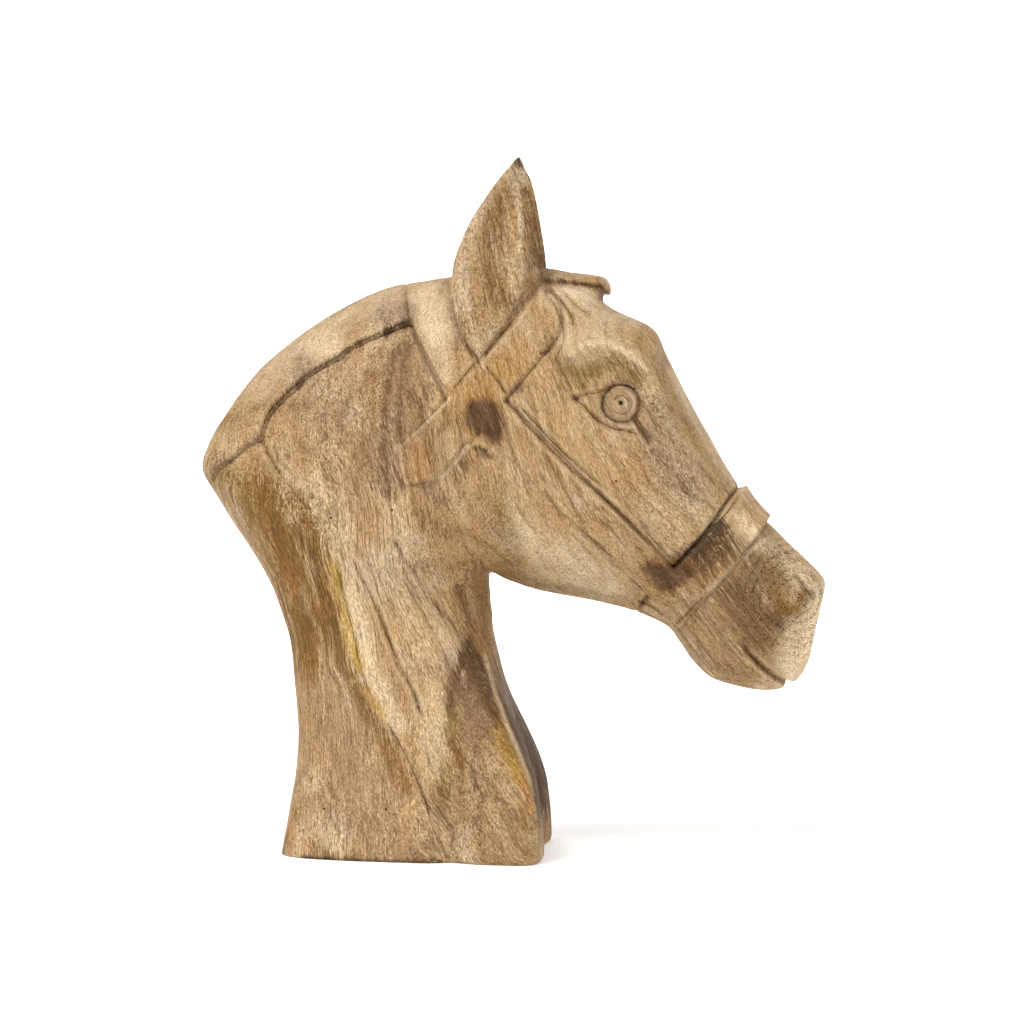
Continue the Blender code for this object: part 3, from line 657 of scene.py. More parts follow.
def relief(place, normal):
    """What the carving does at each point: its cuts and its rises."""
    seen = place[:, [0, 2]]
    sideways = ease(*SIDEWAYS_FACING, np.abs(normal[:, 1]))
    forward = NOSE_DIRECTION[0] * normal[:, 0] + NOSE_DIRECTION[1] * normal[:, 2]
    over_nose = ease(*NOSE_FACING, forward)
    ragged = [unevenness(place, RAGGED_SIZE, seed) for seed in (1, 2)]
    ragged = np.column_stack(ragged) * RAGGED_BY
    parts = [
        mane(seen, sideways, ragged), harness(seen, sideways, over_nose),
        [part * sideways for part in eyes(seen)], muzzle(seen, sideways),
    ]
    cuts = sum(part[0] for part in parts) + tufts(seen)
    rise = sum(part[1] for part in parts)
    rise = rise + groove(seen, SHOULDER_VALLEY, *SHOULDER_CUT) * sideways
    rise += groove(seen, LOBE_HOLLOW, *LOBE_HOLLOW_CUT)
    for path, width, depth in NEAR_CUTS:
        cuts += groove(seen, path, width, depth) * sideways * (place[:, 1] < 0)
    return cuts, rise


def carve(figure):
    """Moves every point of the blank's skin to where the carving leaves it."""
    place, normal = read(figure.data, "co"), read(figure.data, "normal")
    side = np.sign(place[:, 1])
    cuts, rise = relief(place, normal)
    worn = sum(deep * unevenness(place, size, seed) for size, deep, seed in FACETS_AND_RIPPLES)
    ear, outside = on_ear(place)
    outer = ear * ease(*OUTER_FACING, normal[:, 1] * side)
    seen = place[:, [0, 2]]
    dish = -groove(seen, EAR_DISH, *EAR_DISH_CUT)
    hollow = np.minimum(dish, outside.clip(0) * EAR_WALL_KEPT)
    hollow += GOUGE_MARK_DEPTH * unevenness(place, GOUGE_MARK_SIZE, 5) * outer
    for path in EAR_NOTCHES:
        hollow -= groove(seen, path, *EAR_NOTCH_CUT)
    place += normal * ((cuts + rise) * (1 - ear) + worn * (1 - EAR_KNIFE_WORK * ear))[:, None]
    place[:, 1] -= side * outer * hollow
    move_points(figure.data, place)
    seat = (ear > EAR_SEAT[0]) & (ear < EAR_SEAT[1])
    figure.data.vertices.foreach_set("select", seat)
    bpy.ops.object.mode_set(mode="EDIT")
    bpy.ops.mesh.select_mode(type="VERT")
    bpy.ops.mesh.vertices_smooth(factor=RUBBING_STRENGTH, repeat=SEAT_RUBBING)
    bpy.ops.object.mode_set(mode="OBJECT")


bpy.ops.object.mode_set(mode="EDIT")
bpy.ops.mesh.select_all(action="DESELECT")
bpy.ops.object.mode_set(mode="OBJECT")
carve(neck)

# The foot
# The neck is sawn off flat so that the figure stands by itself. The saw's edge is eased
# by hand, a little more at the front than at the back.
FOOT_ROUND_BACK = 0.8
FOOT_ROUND_FRONT = 2.6
FOOT_ROUND_CHANGES = (-80.0, 0.0)
FACETS = 192000


def ease_foot(figure):
    """Rounds the rim of the foot to a quarter circle."""
    place, normal = read(figure.data, "co"), read(figure.data, "normal")
    forward = ease(*FOOT_ROUND_CHANGES, place[:, 0])
    corner = FOOT_ROUND_BACK + (FOOT_ROUND_FRONT - FOOT_ROUND_BACK) * forward
    rise = (corner - place[:, 2]).clip(0, corner)
    inset = corner - np.sqrt(corner**2 - rise**2)
    out = normal[:, :2] / np.linalg.norm(normal[:, :2], axis=1).clip(1e-6)[:, None]
    place[:, :2] -= out * inset[:, None]
    move_points(figure.data, place)


ease_foot(neck)
bpy.ops.object.mode_set(mode="EDIT")
bpy.ops.mesh.select_all(action="SELECT")
bpy.ops.mesh.bisect(
    plane_co=(0, 0, 0), plane_no=(0, 0, -1), use_fill=True, clear_outer=True, threshold=1e-3
)
bpy.ops.mesh.select_all(action="SELECT")
bpy.ops.mesh.normals_make_consistent(inside=False)
bpy.ops.object.mode_set(mode="OBJECT")
thinning = neck.modifiers.new("thinning", "DECIMATE")
thinning.ratio = FACETS / sum(len(face.vertices) - 2 for face in neck.data.polygons)
bpy.ops.object.modifier_apply(modifier="thinning")

# The colour of the wood
# The wood is bare mango under a thin oil. Its tone runs from straw to brown in streaks,
# the cuts are darkened with dust and oil and with painted shade, and there are a few
# stains. Painted highlights and painted shade are laid on with the stains.
# Darkest brown: soot in the cracks, and painted shade in deep places.
SOOT_AND_SHADE = (54, 40, 29)
# Dark brown for the chest's hollow, as staining and as painted shade.
STAIN_AND_SHADE_BROWN = (70, 43, 20)
DARK = (84, 59, 38)
CHESTNUT = (116, 82, 38)
MUD = (112, 86, 58)
BROWN = (134, 101, 64)
# Broad darker tone, laid as painted shade over places that face away from the lights.
BROAD_TONE_AND_SHADE = (150, 121, 90)
PURPLE = (126, 98, 78)
ORANGE = (176, 122, 68)
YELLOW = (172, 136, 56)
HONEY = (166, 126, 74)
OLIVE = (126, 102, 58)
GREY = (140, 119, 96)
SAND = (192, 168, 138)
PALE = (206, 184, 150)
CREAM = (218, 196, 163)
PINK = (192, 156, 126)
# In the hollow of the chest between the lobes: real dark staining with painted shade over it, where
# little light reaches.
HOLLOW_STAINS_AND_SHADE = [
    (BROWN, 8.0, 0.6, [(-8.0, 80.0), (-3.4, 66.0), (2.0, 56.0)]),
    (STAIN_AND_SHADE_BROWN, 14.0, 0.96, [(-3.0, 58.0), (3.0, 47.0), (7.5, 36.0), (10.0, 25.0)]),
    (STAIN_AND_SHADE_BROWN, 7.0, 0.9, [(0.0, 55.0), (5.0, 42.0), (9.0, 30.0), (10.5, 20.0)]),
    (SOOT_AND_SHADE, 5.0, 0.85, [(1.5, 49.0), (6.5, 38.0), (9.5, 29.0), (10.5, 22.0)]),
]
SHARED_STAINS_AND_PAINTED_LIGHT = [
    (SOOT_AND_SHADE, 1.8, 0.8, [(-37.5, 194.6), (-42.5, 192.2), (-46.4, 190.0)]),
    (DARK, 1.6, 0.45, [(-52.4, 188.1), (-63.6, 181.6), (-76.8, 173.6), (-88.5, 161.2)]),
    (SOOT_AND_SHADE, 1.8, 0.7, [(-75.4, 174.6), (-78.0, 171.8)]),
    (GREY, 2.6, 0.5, [(-92.0, 152.5), (-101.5, 146.5), (-110.8, 139.8)]),
    (OLIVE, 2.2, 0.45, [(-3.4, 102.0), (11.0, 98.8), (25.7, 96.7), (40.3, 93.3)]),
    (BROWN, 2.6, 0.7, [(30.1, 206.6), (35.7, 203.9)]),
    (SOOT_AND_SHADE, 1.8, 0.8, [(4.3, 254.0), (3.7, 251.5)]),
    # Painted shade along the rounded bottom edge of the foot, which faces down.
    (SOOT_AND_SHADE, 1.3, 0.8, [(-74.0, 0.2), (-50.0, 0.4), (-24.0, 0.2)]),
    # Painted light on the flat front of the lips, which faces the lights.
    (CREAM, 5.0, 0.85, [(113.4, 95.4), (111.6, 84.3), (108.2, 75.1), (104.4, 67.5)]),
    (PALE, 5.0, 0.7, [(103.0, 80.0), (101.0, 71.0)]),
    # Darker on the ear's front facet, partly staining and partly painted shade, as the facet turns
    # away from the lights.
    (BROWN, 3.6, 0.8, [(6.8, 241.0), (8.8, 228.0), (9.6, 216.0)]),
    (DARK, 2.2, 0.7, [(9.6, 232.0), (11.4, 224.0), (11.8, 216.0)]),
]
STAINS_AND_PAINTED_LIGHT = [
    (GREY, 5.0, 0.7, [(-46.0, 198.5), (-37.0, 198.5)]),
    (GREY, 4.0, 0.5, [(-76.1, 181.8), (-76.8, 175.5)]),
    (PINK, 4.0, 0.3, [(-71.0, 195.7), (-78.0, 188.0), (-85.2, 180.6), (-91.7, 172.1)]),
    # Broad painted shade on the upper neck behind the crown strap.
    (BROAD_TONE_AND_SHADE, 9.0, 0.75, [(-38.0, 182.0), (-36.0, 168.0), (-35.0, 154.0)]),
    (DARK, 2.0, 0.95, [(-36.9, 185.6), (-38.2, 175.0), (-38.9, 165.6), (-39.4, 151.1)]),
    (DARK, 1.8, 0.8, [(-40.5, 185.6), (-43.1, 176.0), (-44.1, 165.6), (-45.2, 147.5)]),
    (DARK, 1.7, 0.8, [(-38.0, 171.1), (-34.0, 166.0), (-31.4, 162.0)]),
    (DARK, 1.5, 0.65, [(-29.6, 171.1), (-31.2, 162.0), (-32.2, 154.7)]),
    (DARK, 2.0, 0.7, [(-44.0, 151.0), (-44.2, 140.0), (-41.0, 131.0)]),
    (BROWN, 3.0, 0.6, [(-48.3, 180.6), (-50.0, 167.7), (-51.9, 154.9), (-53.2, 144.1)]),
    (DARK, 1.4, 0.75, [(-42.3, 145.9), (-40.6, 140.4), (-37.8, 134.7)]),
    (ORANGE, 3.4, 0.4, [(-34.2, 151.0), (-32.4, 144.0), (-31.4, 138.5)]),
    (BROWN, 4.0, 0.5, [(-22.0, 160.5), (-27.0, 154.0), (-31.0, 148.0)]),
    (CHESTNUT, 1.4, 0.5, [(-29.5, 150.0), (-27.0, 139.5)]),
    (PURPLE, 3.6, 0.6, [(-28.1, 134.5), (-23.5, 129.6)]),
    # Broad painted shade on the upper neck.
    (BROAD_TONE_AND_SHADE, 18.0, 0.7, [(-66.0, 164.0), (-54.0, 140.0)]),
    (SOOT_AND_SHADE, 1.6, 0.8, [(-82.8, 7.0), (-83.4, 3.0), (-83.6, 0.0)]),
    (OLIVE, 6.0, 0.5, [(-105.9, 140.7), (-97.9, 131.7), (-91.5, 121.8)]),
    (CHESTNUT, 9.0, 0.95, [(-89.8, 130.7), (-83.3, 117.0), (-79.1, 103.1), (-75.9, 88.6),
                           (-74.7, 72.8)]),
    (DARK, 2.4, 0.6, [(-85.1, 124.2), (-80.3, 112.1), (-76.0, 100.5), (-73.9, 88.5),
                      (-73.0, 75.2)]),
    (CHESTNUT, 4.4, 0.7, [(-75.3, 127.8), (-69.7, 115.2), (-65.4, 102.6), (-64.0, 88.6)]),
    (ORANGE, 3.4, 0.6, [(-80.6, 107.0), (-77.0, 97.0)]),
    (PALE, 2.4, 0.5, [(-75.0, 98.0), (-73.6, 90.0)]),
    (DARK, 1.5, 0.6, [(-74.9, 119.5), (-70.1, 107.3), (-66.7, 93.5), (-62.8, 80.0)]),
    (CHESTNUT, 3.6, 0.8, [(-65.0, 90.5), (-62.4, 78.0), (-57.9, 67.5), (-52.6, 57.8), (-46.3, 47.2),
                          (-41.0, 36.6), (-36.5, 27.8)]),
    (DARK, 1.6, 0.6, [(-62.6, 82.5), (-58.6, 67.6), (-51.9, 56.0), (-46.0, 45.9), (-40.8, 36.7)]),
    (YELLOW, 2.3, 0.85, [(-63.0, 105.0), (-59.4, 93.0), (-56.1, 78.5), (-53.9, 69.5)]),
    (YELLOW, 1.5, 0.85, [(-51.0, 62.2), (-47.8, 57.0), (-44.5, 52.0)]),
    (SOOT_AND_SHADE, 2.2, 0.85, [(-14.7, 77.5), (-12.0, 70.0), (-8.0, 61.0), (-4.5, 53.0)]),
    (DARK, 5.0, 0.9, [(-12.8, 71.0), (-9.6, 61.0)]),
    (BROWN, 7.0, 0.6, [(-15.0, 58.0), (-11.0, 46.0)]),
    (DARK, 1.5, 0.75, [(-15.6, 75.0), (-18.1, 66.0), (-19.8, 56.0)]),
    (DARK, 2.0, 0.6, [(-17.0, 62.0), (-14.0, 54.0)]),
    (PURPLE, 6.4, 0.9, [(-14.6, 62.0), (-10.5, 50.0)]),
    (CHESTNUT, 2.6, 0.6, [(-5.5, 57.0), (-2.5, 48.0), (1.0, 40.0)]),
    (OLIVE, 2.6, 0.85, [(-19.0, 53.0), (-19.4, 46.0)]),
    (CHESTNUT, 2.4, 0.9, [(-19.0, 42.0), (-16.0, 36.5)]),
    (DARK, 1.4, 0.6, [(-15.7, 39.5), (-12.6, 35.1), (-10.4, 28.1), (-7.4, 22.9)]),
    (BROWN, 5.0, 0.7, [(-8.0, 76.0), (-10.0, 90.0), (-12.5, 101.0)]),
    (DARK, 1.6, 0.6, [(-19.0, 98.0), (-15.5, 88.0), (-13.0, 78.0)]),
    (CHESTNUT, 2.2, 0.5, [(-9.9, 95.7), (-8.9, 87.0), (-8.9, 78.3)]),
    (BROWN, 3.4, 0.5, [(-9.9, 45.7), (-6.9, 37.0), (-3.9, 28.3)]),
    # A painted highlight along the ridge of the near lobe.
    (PALE, 0.9, 0.7, LOBE_EDGE),
    # Broad painted shade on the chest.
    (BROAD_TONE_AND_SHADE, 8.0, 0.6, [(-12.0, 44.0), (-6.0, 30.0)]),
    # Painted highlights along both edges of the strap under the throat.
    (PALE, 0.9, 0.6, [(-38.7, 148.6), (-29.0, 158.0), (-20.5, 166.7)]),
    (PALE, 0.9, 0.6, [(-24.2, 137.3), (-19.0, 143.0), (-14.4, 149.1)]),
    # A painted highlight on the side of the forelock, below its fold.
    (CREAM, 2.4, 0.9, [(19.5, 205.8), (31.0, 204.6)]),
    (DARK, 1.1, 0.8, [(12.0, 210.2), (23.8, 209.2), (33.0, 207.8)]),
    (YELLOW, 2.6, 0.55, [(-2.4, 46.4), (2.0, 37.4), (5.0, 30.4)]),
    (ORANGE, 2.4, 0.6, [(5.0, 31.0), (7.4, 24.3), (7.8, 19.5)]),
    (CHESTNUT, 2.6, 0.7, [(6.0, 19.1), (7.0, 13.8)]),
    (OLIVE, 2.6, 0.6, [(-21.1, 34.3), (-22.1, 20.4)]),
    # Broad painted shade over the foot.
    (BROAD_TONE_AND_SHADE, 18.0, 0.75, [(-62.0, 50.0), (-52.0, 24.0), (-40.0, 8.0)]),
    (BROAD_TONE_AND_SHADE, 10.0, 0.5, [(-20.0, 20.0), (0.0, 12.0)]),
    # Painted shadow on the noseband below its raised rear edge, over real dark staining.
    (SOOT_AND_SHADE, 3.6, 1.0, [(61.5, 106.6), (69.0, 111.5), (76.6, 119.6)]),
    (DARK, 4.4, 0.9, [(67.0, 105.5), (74.5, 109.5), (79.0, 113.5)]),
    (BROWN, 4.0, 0.7, [(70.0, 99.5), (78.0, 104.5), (83.0, 109.0)]),
    (PALE, 3.6, 0.7, [(83.5, 124.0), (87.0, 119.0), (89.0, 116.0)]),
    # A painted highlight along the noseband's front edge.
    (PALE, 1.3, 0.7, [(73.0, 97.2), (80.0, 104.5), (87.5, 112.4)]),
    (MUD, 10.0, 0.9, [(91.6, 104.7), (85.0, 93.6), (90.0, 82.4)]),
    (DARK, 4.0, 0.6, [(83.1, 96.9), (89.3, 88.2), (97.0, 86.5)]),
    (CHESTNUT, 5.0, 0.6, [(96.1, 107.9), (98.3, 97.2), (99.4, 91.2)]),
    (OLIVE, 6.0, 0.4, [(91.0, 98.0), (94.5, 104.0)]),
    # Painted light down the front of the nose, which faces the lights.
    (PALE, 4.0, 0.6, [(92.1, 113.3), (100.1, 106.1), (104.5, 101.7)]),
    # Broad painted shade below the noseband.
    (BROAD_TONE_AND_SHADE, 7.0, 0.8, [(68.8, 91.5), (73.4, 80.9), (82.0, 68.0)]),
    # Painted shadow in a crescent under the nostril's roll.
    (CHESTNUT, 1.8, 0.7, [(98.3, 90.6), (103.5, 90.7), (106.4, 96.0)]),
    # Olive brown under the brow, partly staining and partly painted shade in the hollow below the
    # ridge.
    (OLIVE, 3.6, 0.7, [(29.5, 175.0), (37.0, 178.0), (44.2, 175.6), (47.4, 172.6)]),
    (CHESTNUT, 2.2, 0.6, [(40.0, 174.0), (46.0, 172.5)]),
    (OLIVE, 2.6, 0.6, [(23.5, 176.2), (26.4, 170.8)]),
    (BROWN, 3.4, 0.6, [(14.7, 186.6), (18.6, 179.2), (20.4, 170.2)]),
    (PURPLE, 2.0, 0.9, [(1.8, 168.6), (4.6, 170.4)]),
    (DARK, 1.2, 0.8, [(-11.6, 148.5), (-8.6, 147.2)]),
    (DARK, 1.1, 0.7, [(-10.0, 146.0), (-5.6, 145.0)]),
    (MUD, 3.6, 0.5, [(-14.5, 143.6), (-19.3, 139.4)]),
    (OLIVE, 6.0, 0.45, [(-6.3, 129.6), (-1.1, 118.8), (2.2, 107.8)]),
    (BROWN, 3.0, 0.4, [(5.8, 153.7), (14.8, 143.2), (27.3, 130.6), (41.6, 117.0), (52.0, 108.0)]),
    # Painted light on the lower cheek, which faces down.
    (PALE, 10.0, 0.6, [(8.0, 116.0), (26.0, 104.0), (36.0, 98.0)]),
    (BROWN, 4.4, 0.5, [(-14.9, 107.8), (-12.8, 93.1), (-11.3, 78.7)]),
    (PALE, 6.4, 0.95, [(-30.2, 205.7), (-26.5, 192.3)]),
    (DARK, 0.9, 0.75, [(-20.5, 201.9), (-18.7, 192.9), (-16.2, 187.4), (-13.3, 183.0),
                       (-10.4, 179.4)]),
    (PALE, 4.0, 0.5, [(-26.0, 187.7), (-22.2, 174.7)]),
    (PALE, 5.0, 0.6, [(-72.6, 186.1), (-64.3, 185.9)]),
    # Painted highlights along the brow ridge and on its top.
    (CREAM, 1.5, 0.45, [(27.6, 185.4), (33.9, 186.4), (40.3, 184.2), (46.0, 180.4), (50.0, 176.5)]),
    (PALE, 5.0, 0.4, [(20.0, 184.0), (30.0, 182.0)]),
    (PALE, 5.0, 0.4, [(22.0, 188.0), (31.0, 190.0)]),
    # Painted light on the forehead's front, below the forelock.
    (PALE, 5.0, 0.4, [(18.7, 204.2), (30.0, 198.3), (42.3, 193.6)]),
    (PALE, 3.8, 0.7, [(-57.8, 95.2), (-53.7, 84.4), (-50.2, 73.8), (-45.3, 61.3), (-39.1, 48.6)]),
    (PALE, 5.0, 0.4, [(-29.2, 61.5), (-26.5, 43.7), (-25.7, 33.0)]),
    (GREY, 8.0, 0.36, [(52.2, 151.1), (58.8, 142.4), (67.7, 131.6)]),
    # Broad painted shade in front of and below the eye.
    (BROAD_TONE_AND_SHADE, 6.0, 0.7, [(50.0, 162.0), (56.0, 150.0), (59.0, 140.0)]),
    (DARK, 1.4, 0.5, [(55.5, 146.0), (60.5, 138.0), (66.0, 130.0)]),
    # Painted light along the front edge of the face, down to the noseband.
    (PALE, 2.2, 0.6, [(59.5, 176.1), (66.7, 162.4), (74.7, 147.9), (82.2, 136.3)]),
    (ORANGE, 6.0, 0.2, [(44.8, 143.9), (50.4, 132.2), (62.7, 117.2)]),
    (HONEY, 8.0, 0.8, [(-12.0, 167.0), (4.0, 181.0)]),
    (DARK, 1.5, 0.8, [(46.9, 157.4), (48.6, 154.4), (51.0, 151.0)]),
    # Painted shade in the hollow of the ear.
    (BROWN, 4.4, 0.7, [(-3.1, 238.4), (-5.2, 225.5), (-4.6, 212.0), (-1.2, 201.6)]),
    # A painted highlight along the ridge of the ear.
    (PALE, 1.4, 0.5, [(2.8, 241.0), (4.4, 230.0), (4.0, 220.0), (5.6, 210.0)]),
    # Painted light on the rounded back of the ear.
    (SAND, 4.4, 0.8, [(-10.5, 238.0), (-15.4, 226.0), (-17.4, 212.0), (-16.7, 200.0)]),
    # Painted light along the top of the crest, which faces up to the lights.
    (SAND, 9.0, 0.6, [(-94.0, 174.0), (-76.0, 190.0), (-54.0, 202.0), (-40.0, 206.0)]),
]
BLOTS = [
    [(-14.7, 164.2), (-12.6, 165.6), (-9.7, 166.0), (-6.0, 165.2), (-3.5, 163.8), (-2.0, 160.2),
     (-1.7, 156.6), (-2.4, 152.9), (-3.7, 150.6), (-5.7, 150.2), (-7.8, 152.4), (-10.4, 153.7),
     (-13.3, 154.7), (-14.9, 157.1), (-15.3, 160.5)],
    [(49.4, 106.2), (52.0, 107.7), (54.9, 106.9), (57.8, 106.4), (60.7, 106.9), (63.6, 107.3),
     (66.0, 106.2), (66.6, 103.7), (65.9, 101.3), (63.6, 100.0), (61.1, 98.6), (58.7, 96.9),
     (56.0, 97.2), (53.1, 98.9), (50.5, 101.5), (48.8, 104.0)],
]
BLOT_EDGE = 3.0
FAR_SIDE_SHARE = 0.5
NEAR_SIDE_ENDS = (-6.0, 2.0)
OUTWARD_IN_HOLLOW = (0.1, 0.45)
PAINTED_FACING = (0.15, 0.5)
EAR_OUTSIDE = (-0.1, 0.4)


def linear(colour):
    """A colour as seen on a screen, 0 to 255, as the amounts of light that it stands for."""
    share = np.array(colour) / 255
    return np.where(share <= 0.04045, share / 12.92, ((share + 0.055) / 1.055) ** 2.4)


def stains_and_painted_light_at(seen, near, hollow):
    """Colour and strength of the stains, painted highlights and painted shade at each point.
    The hollow's stains and painted shade lie only in the hollow of the chest, and the far
    side has every other one of the near side's, fainter."""
    faint = (near, near + (1 - near) * FAR_SIDE_SHARE)
    listed = [(hollow, *stain_and_painted_light) for stain_and_painted_light in HOLLOW_STAINS_AND_SHADE]
    listed += [(1, *stain_and_painted_light) for stain_and_painted_light in SHARED_STAINS_AND_PAINTED_LIGHT]
    listed += [(faint[i % 2], *stain_and_painted_light) for i, stain_and_painted_light in enumerate(STAINS_AND_PAINTED_LIGHT)]
    colour, weight = np.zeros((len(seen), 3)), np.zeros(len(seen))
    clear = np.ones(len(seen))
    for where, tone, width, strength, path in listed:
        distance, _, _ = from_path(seen, smooth_path(path, 3), 3 * width)
        amount = strength * fading(distance, width) * where
        colour += amount[:, None] ** 2 * linear(tone)
        weight += amount**2
        clear *= 1 - amount
    return colour / weight.clip(1e-9)[:, None], 1 - clear


def blotted(seen):
    """How far inside the edge of the nearest dark round mark each point is."""
    inside = np.full(len(seen), -FAR_OFF)
    for outline in BLOTS:
        corners = np.array(outline + outline[:1])
        distance, _, _ = from_path(seen, corners, 4 * BLOT_EDGE)
        crossings = np.zeros(len(seen), int)
        for (x0, z0), (x1, z1) in zip(corners, corners[1:]):
            level = (seen[:, 1] >= z0) != (seen[:, 1] >= z1)
            crossing = x0 + (seen[:, 1] - z0) * (x1 - x0) / (z1 - z0)
            crossings += level & (seen[:, 0] < crossing)
        within = np.where(crossings % 2 == 1, distance, -distance)
        inside = np.maximum(inside, within)
    return inside.clip(-BLOT_EDGE, BLOT_EDGE)


# Fine lines are kept as the distance across them, so that they stay sharp between the
# points of the mesh. Lines of one set lie well apart.
LINE_SETS = {
    "seam": [
        (0.35, 2, [(113.3, 99.1), (110.2, 95.6), (108.2, 92.8), (106.4, 89.2), (103.2, 85.9),
                   (100.0, 83.0), (96.4, 78.7), (93.9, 74.7)]),
        (0.6, 2, MANE_CRACK),
        (0.75, 2, [(8.2, 204.7), (2.6, 195.4), (-6.3, 184.8), (-15.2, 175.0), (-20.3, 168.7)]),
        (0.9, 2, [(1.8, 164.1), (4.8, 159.4), (8.4, 155.3), (13.8, 149.9), (19.2, 144.3),
                  (24.6, 139.3), (29.9, 134.6), (35.3, 130.0), (40.6, 125.3), (45.6, 120.3),
                  (50.6, 115.2), (54.9, 111.2)]),
        (0.75, 2, [(83.8, 131.8), (79.1, 125.3), (74.7, 120.6), (70.4, 115.9), (66.4, 112.7),
                   (62.1, 109.1)]),
        (1.0, 1, [(-56.5, 109.5), (-51.4, 99.7), (-46.4, 89.3), (-43.8, 82.1), (-41.3, 76.0),
                  (-38.3, 69.2), (-33.5, 60.7), (-31.7, 55.0), (-29.4, 50.1)]),
        (0.8, 2, MOUTH_LINE),
        (0.7, 2, NOSTRIL_SLIT),
        (0.45, 2, TEAR_LINE),
        (0.45, 2, TUFT_LINES[0]),
        (0.35, 1, FOOT_SPLIT),
    ],
    "crease": [
        (0.6, 2, [(-35.9, 195.0), (-33.0, 188.5), (-30.1, 183.3), (-27.4, 178.1), (-24.3, 172.9),
                   (-21.3, 168.3)]),
        (0.35, 2, [(-20.9, 166.4), (-27.2, 160.7), (-33.3, 154.9), (-38.7, 149.5)]),
        (0.45, 2, WITHERS_LINE),
        (0.6, 2, [(70.2, 94.6), (65.0, 88.9), (60.0, 84.0)]),
        (0.45, 2, [(90.8, 116.7), (87.2, 112.9), (83.0, 108.3)]),
        (0.5, 2, [(24.8, 120.6), (29.1, 116.7), (33.4, 112.7), (38.4, 108.7)]),
        (0.5, 2, LOWER_LID),
        (0.55, 2, TUFT_LINES[1]),
        (0.6, 1, [(-41.5, 117.0), (-37.6, 109.4), (-32.4, 101.5), (-27.4, 93.5), (-21.9, 85.2)]),
        (0.5, 1, THROAT_SPLIT),
        (0.3, 1, [(-38.1, 82.9), (-36.6, 76.4), (-35.8, 70.7), (-36.5, 66.4)]),
        (0.5, 1, KNIFE_SLIP),
        (0.5, 2, BROWBAND_NOTCH),
        (0.4, 2, CHIN_LINE),
    ],
    "score": [
        (0.6, 1, [(-62.0, 108.0), (-59.5, 97.2), (-55.9, 82.8), (-53.0, 70.2), (-49.2, 59.5)]),
        (0.6, 1, [(-43.7, 50.6), (-38.1, 41.8), (-33.6, 33.0), (-28.8, 22.4), (-26.2, 11.9)]),
        (0.7, 2, STRAP_SEAM),
        (0.55, 2, CHEEK_SECOND),
        (0.5, 2, BRANCH_LINE),
        (0.8, 2, JAW_NICK),
        (0.5, 2, [(44.1, 101.4), (48.7, 96.7)]),
        (0.42, 2, UPPER_LID),
        (0.3, 2, [(-14.4, 151.2), (-18.6, 146.0), (-21.6, 143.0)]),
        (0.35, 2, [(-26.6, 137.3), (-31.9, 135.3), (-37.6, 134.8)]),
        (0.4, 2, WITHERS_SECOND),
        (0.5, 2, [(11.7, 206.6), (15.9, 201.6), (18.6, 196.3), (20.1, 190.8), (20.2, 186.4),
                  (17.7, 180.9), (15.9, 177.7)]),
        (0.3, 1, [(-17.7, 118.8), (-16.4, 114.4), (-15.1, 111.1)]),
        (0.35, 1, [(-46.4, 89.0), (-45.7, 91.8), (-43.9, 93.6), (-41.7, 92.6), (-40.6, 89.3)]),
    ],
}
LINE_REACH = 1.6
SIDES_APART = 9.0
LINE_STARTS = (0, 0.06)
LINE_ENDS = (0.9, 1.0)


def traced(seen, near, lines):
    """Distance across the nearest line, with its sign, and how strong the line is there."""
    across, strength = np.full(len(seen), SIDES_APART), np.zeros(len(seen))
    for weight, sides, path in lines:
        distance, side, along = from_path(seen, smooth_path(path), SIDES_APART)
        nearer = distance < np.abs(across)
        across[nearer] = (side * distance)[nearer]
        whole = ease(*LINE_STARTS, along) * (1 - ease(*LINE_ENDS, along))
        drawn = weight * whole * (1 - ease(LINE_REACH, 2 * LINE_REACH, distance))
        strength = np.maximum(strength, drawn if sides == 2 else drawn * near)
    return across, strength


def note(mesh, name, values):
    """Keeps one value for each point of the mesh, for the material to read."""
    kind, field = ("FLOAT_VECTOR", "vector") if values.ndim == 2 else ("FLOAT", "value")
    attribute = mesh.attributes.new(name, kind, "POINT")
    attribute.data.foreach_set(field, values.astype(np.float32).ravel())


def paint(mesh):
    """Keeps stains with painted light and shade, dark marks, cuts, fine lines and the ears' places
    on the mesh.
    """
    place, normal = read(mesh, "co"), read(mesh, "normal")
    seen = place[:, [0, 2]]
    near = 1 - ease(*NEAR_SIDE_ENDS, place[:, 1])
    sideways = ease(*PAINTED_FACING, np.abs(normal[:, 1]))
    outwards = normal[:, 1] * np.sign(place[:, 1])
    # Surfaces turned in towards the cleft take the hollow's staining and painted shade.
    middle = fading(place[:, 1], CLEFT_HALF_WIDTH)
    hollow = np.maximum(1 - ease(*OUTWARD_IN_HOLLOW, outwards), middle)
    cuts, _ = relief(place, normal)
    colour, strength = stains_and_painted_light_at(seen, near * (0.5 + 0.5 * sideways), hollow)
    ear, _ = on_ear(place)
    note(mesh, "cut", -cuts * (1 - ear))
    note(mesh, "ear", ear * ease(*EAR_OUTSIDE, outwards))
    note(mesh, "blot", blotted(seen))
    note(mesh, "stain_and_painted_light_colour", colour)
    note(mesh, "stain_and_painted_light", strength)
    for name, lines in LINE_SETS.items():
        across, drawn = traced(seen, near * sideways, lines)
        note(mesh, name + "_across", across)
        note(mesh, name, drawn * (1 - ear))


paint(neck.data)


def fit(figure, node):
    """Brings the drawn figure to its stated size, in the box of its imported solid."""
    place = read(figure.data, "co")
    low, high = place.min(0), place.max(0)
    box_low, box_high = (np.array(corner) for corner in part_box(node))
    place = box_low + (place - low) / (high - low) * (box_high - box_low)
    move_points(figure.data, place)


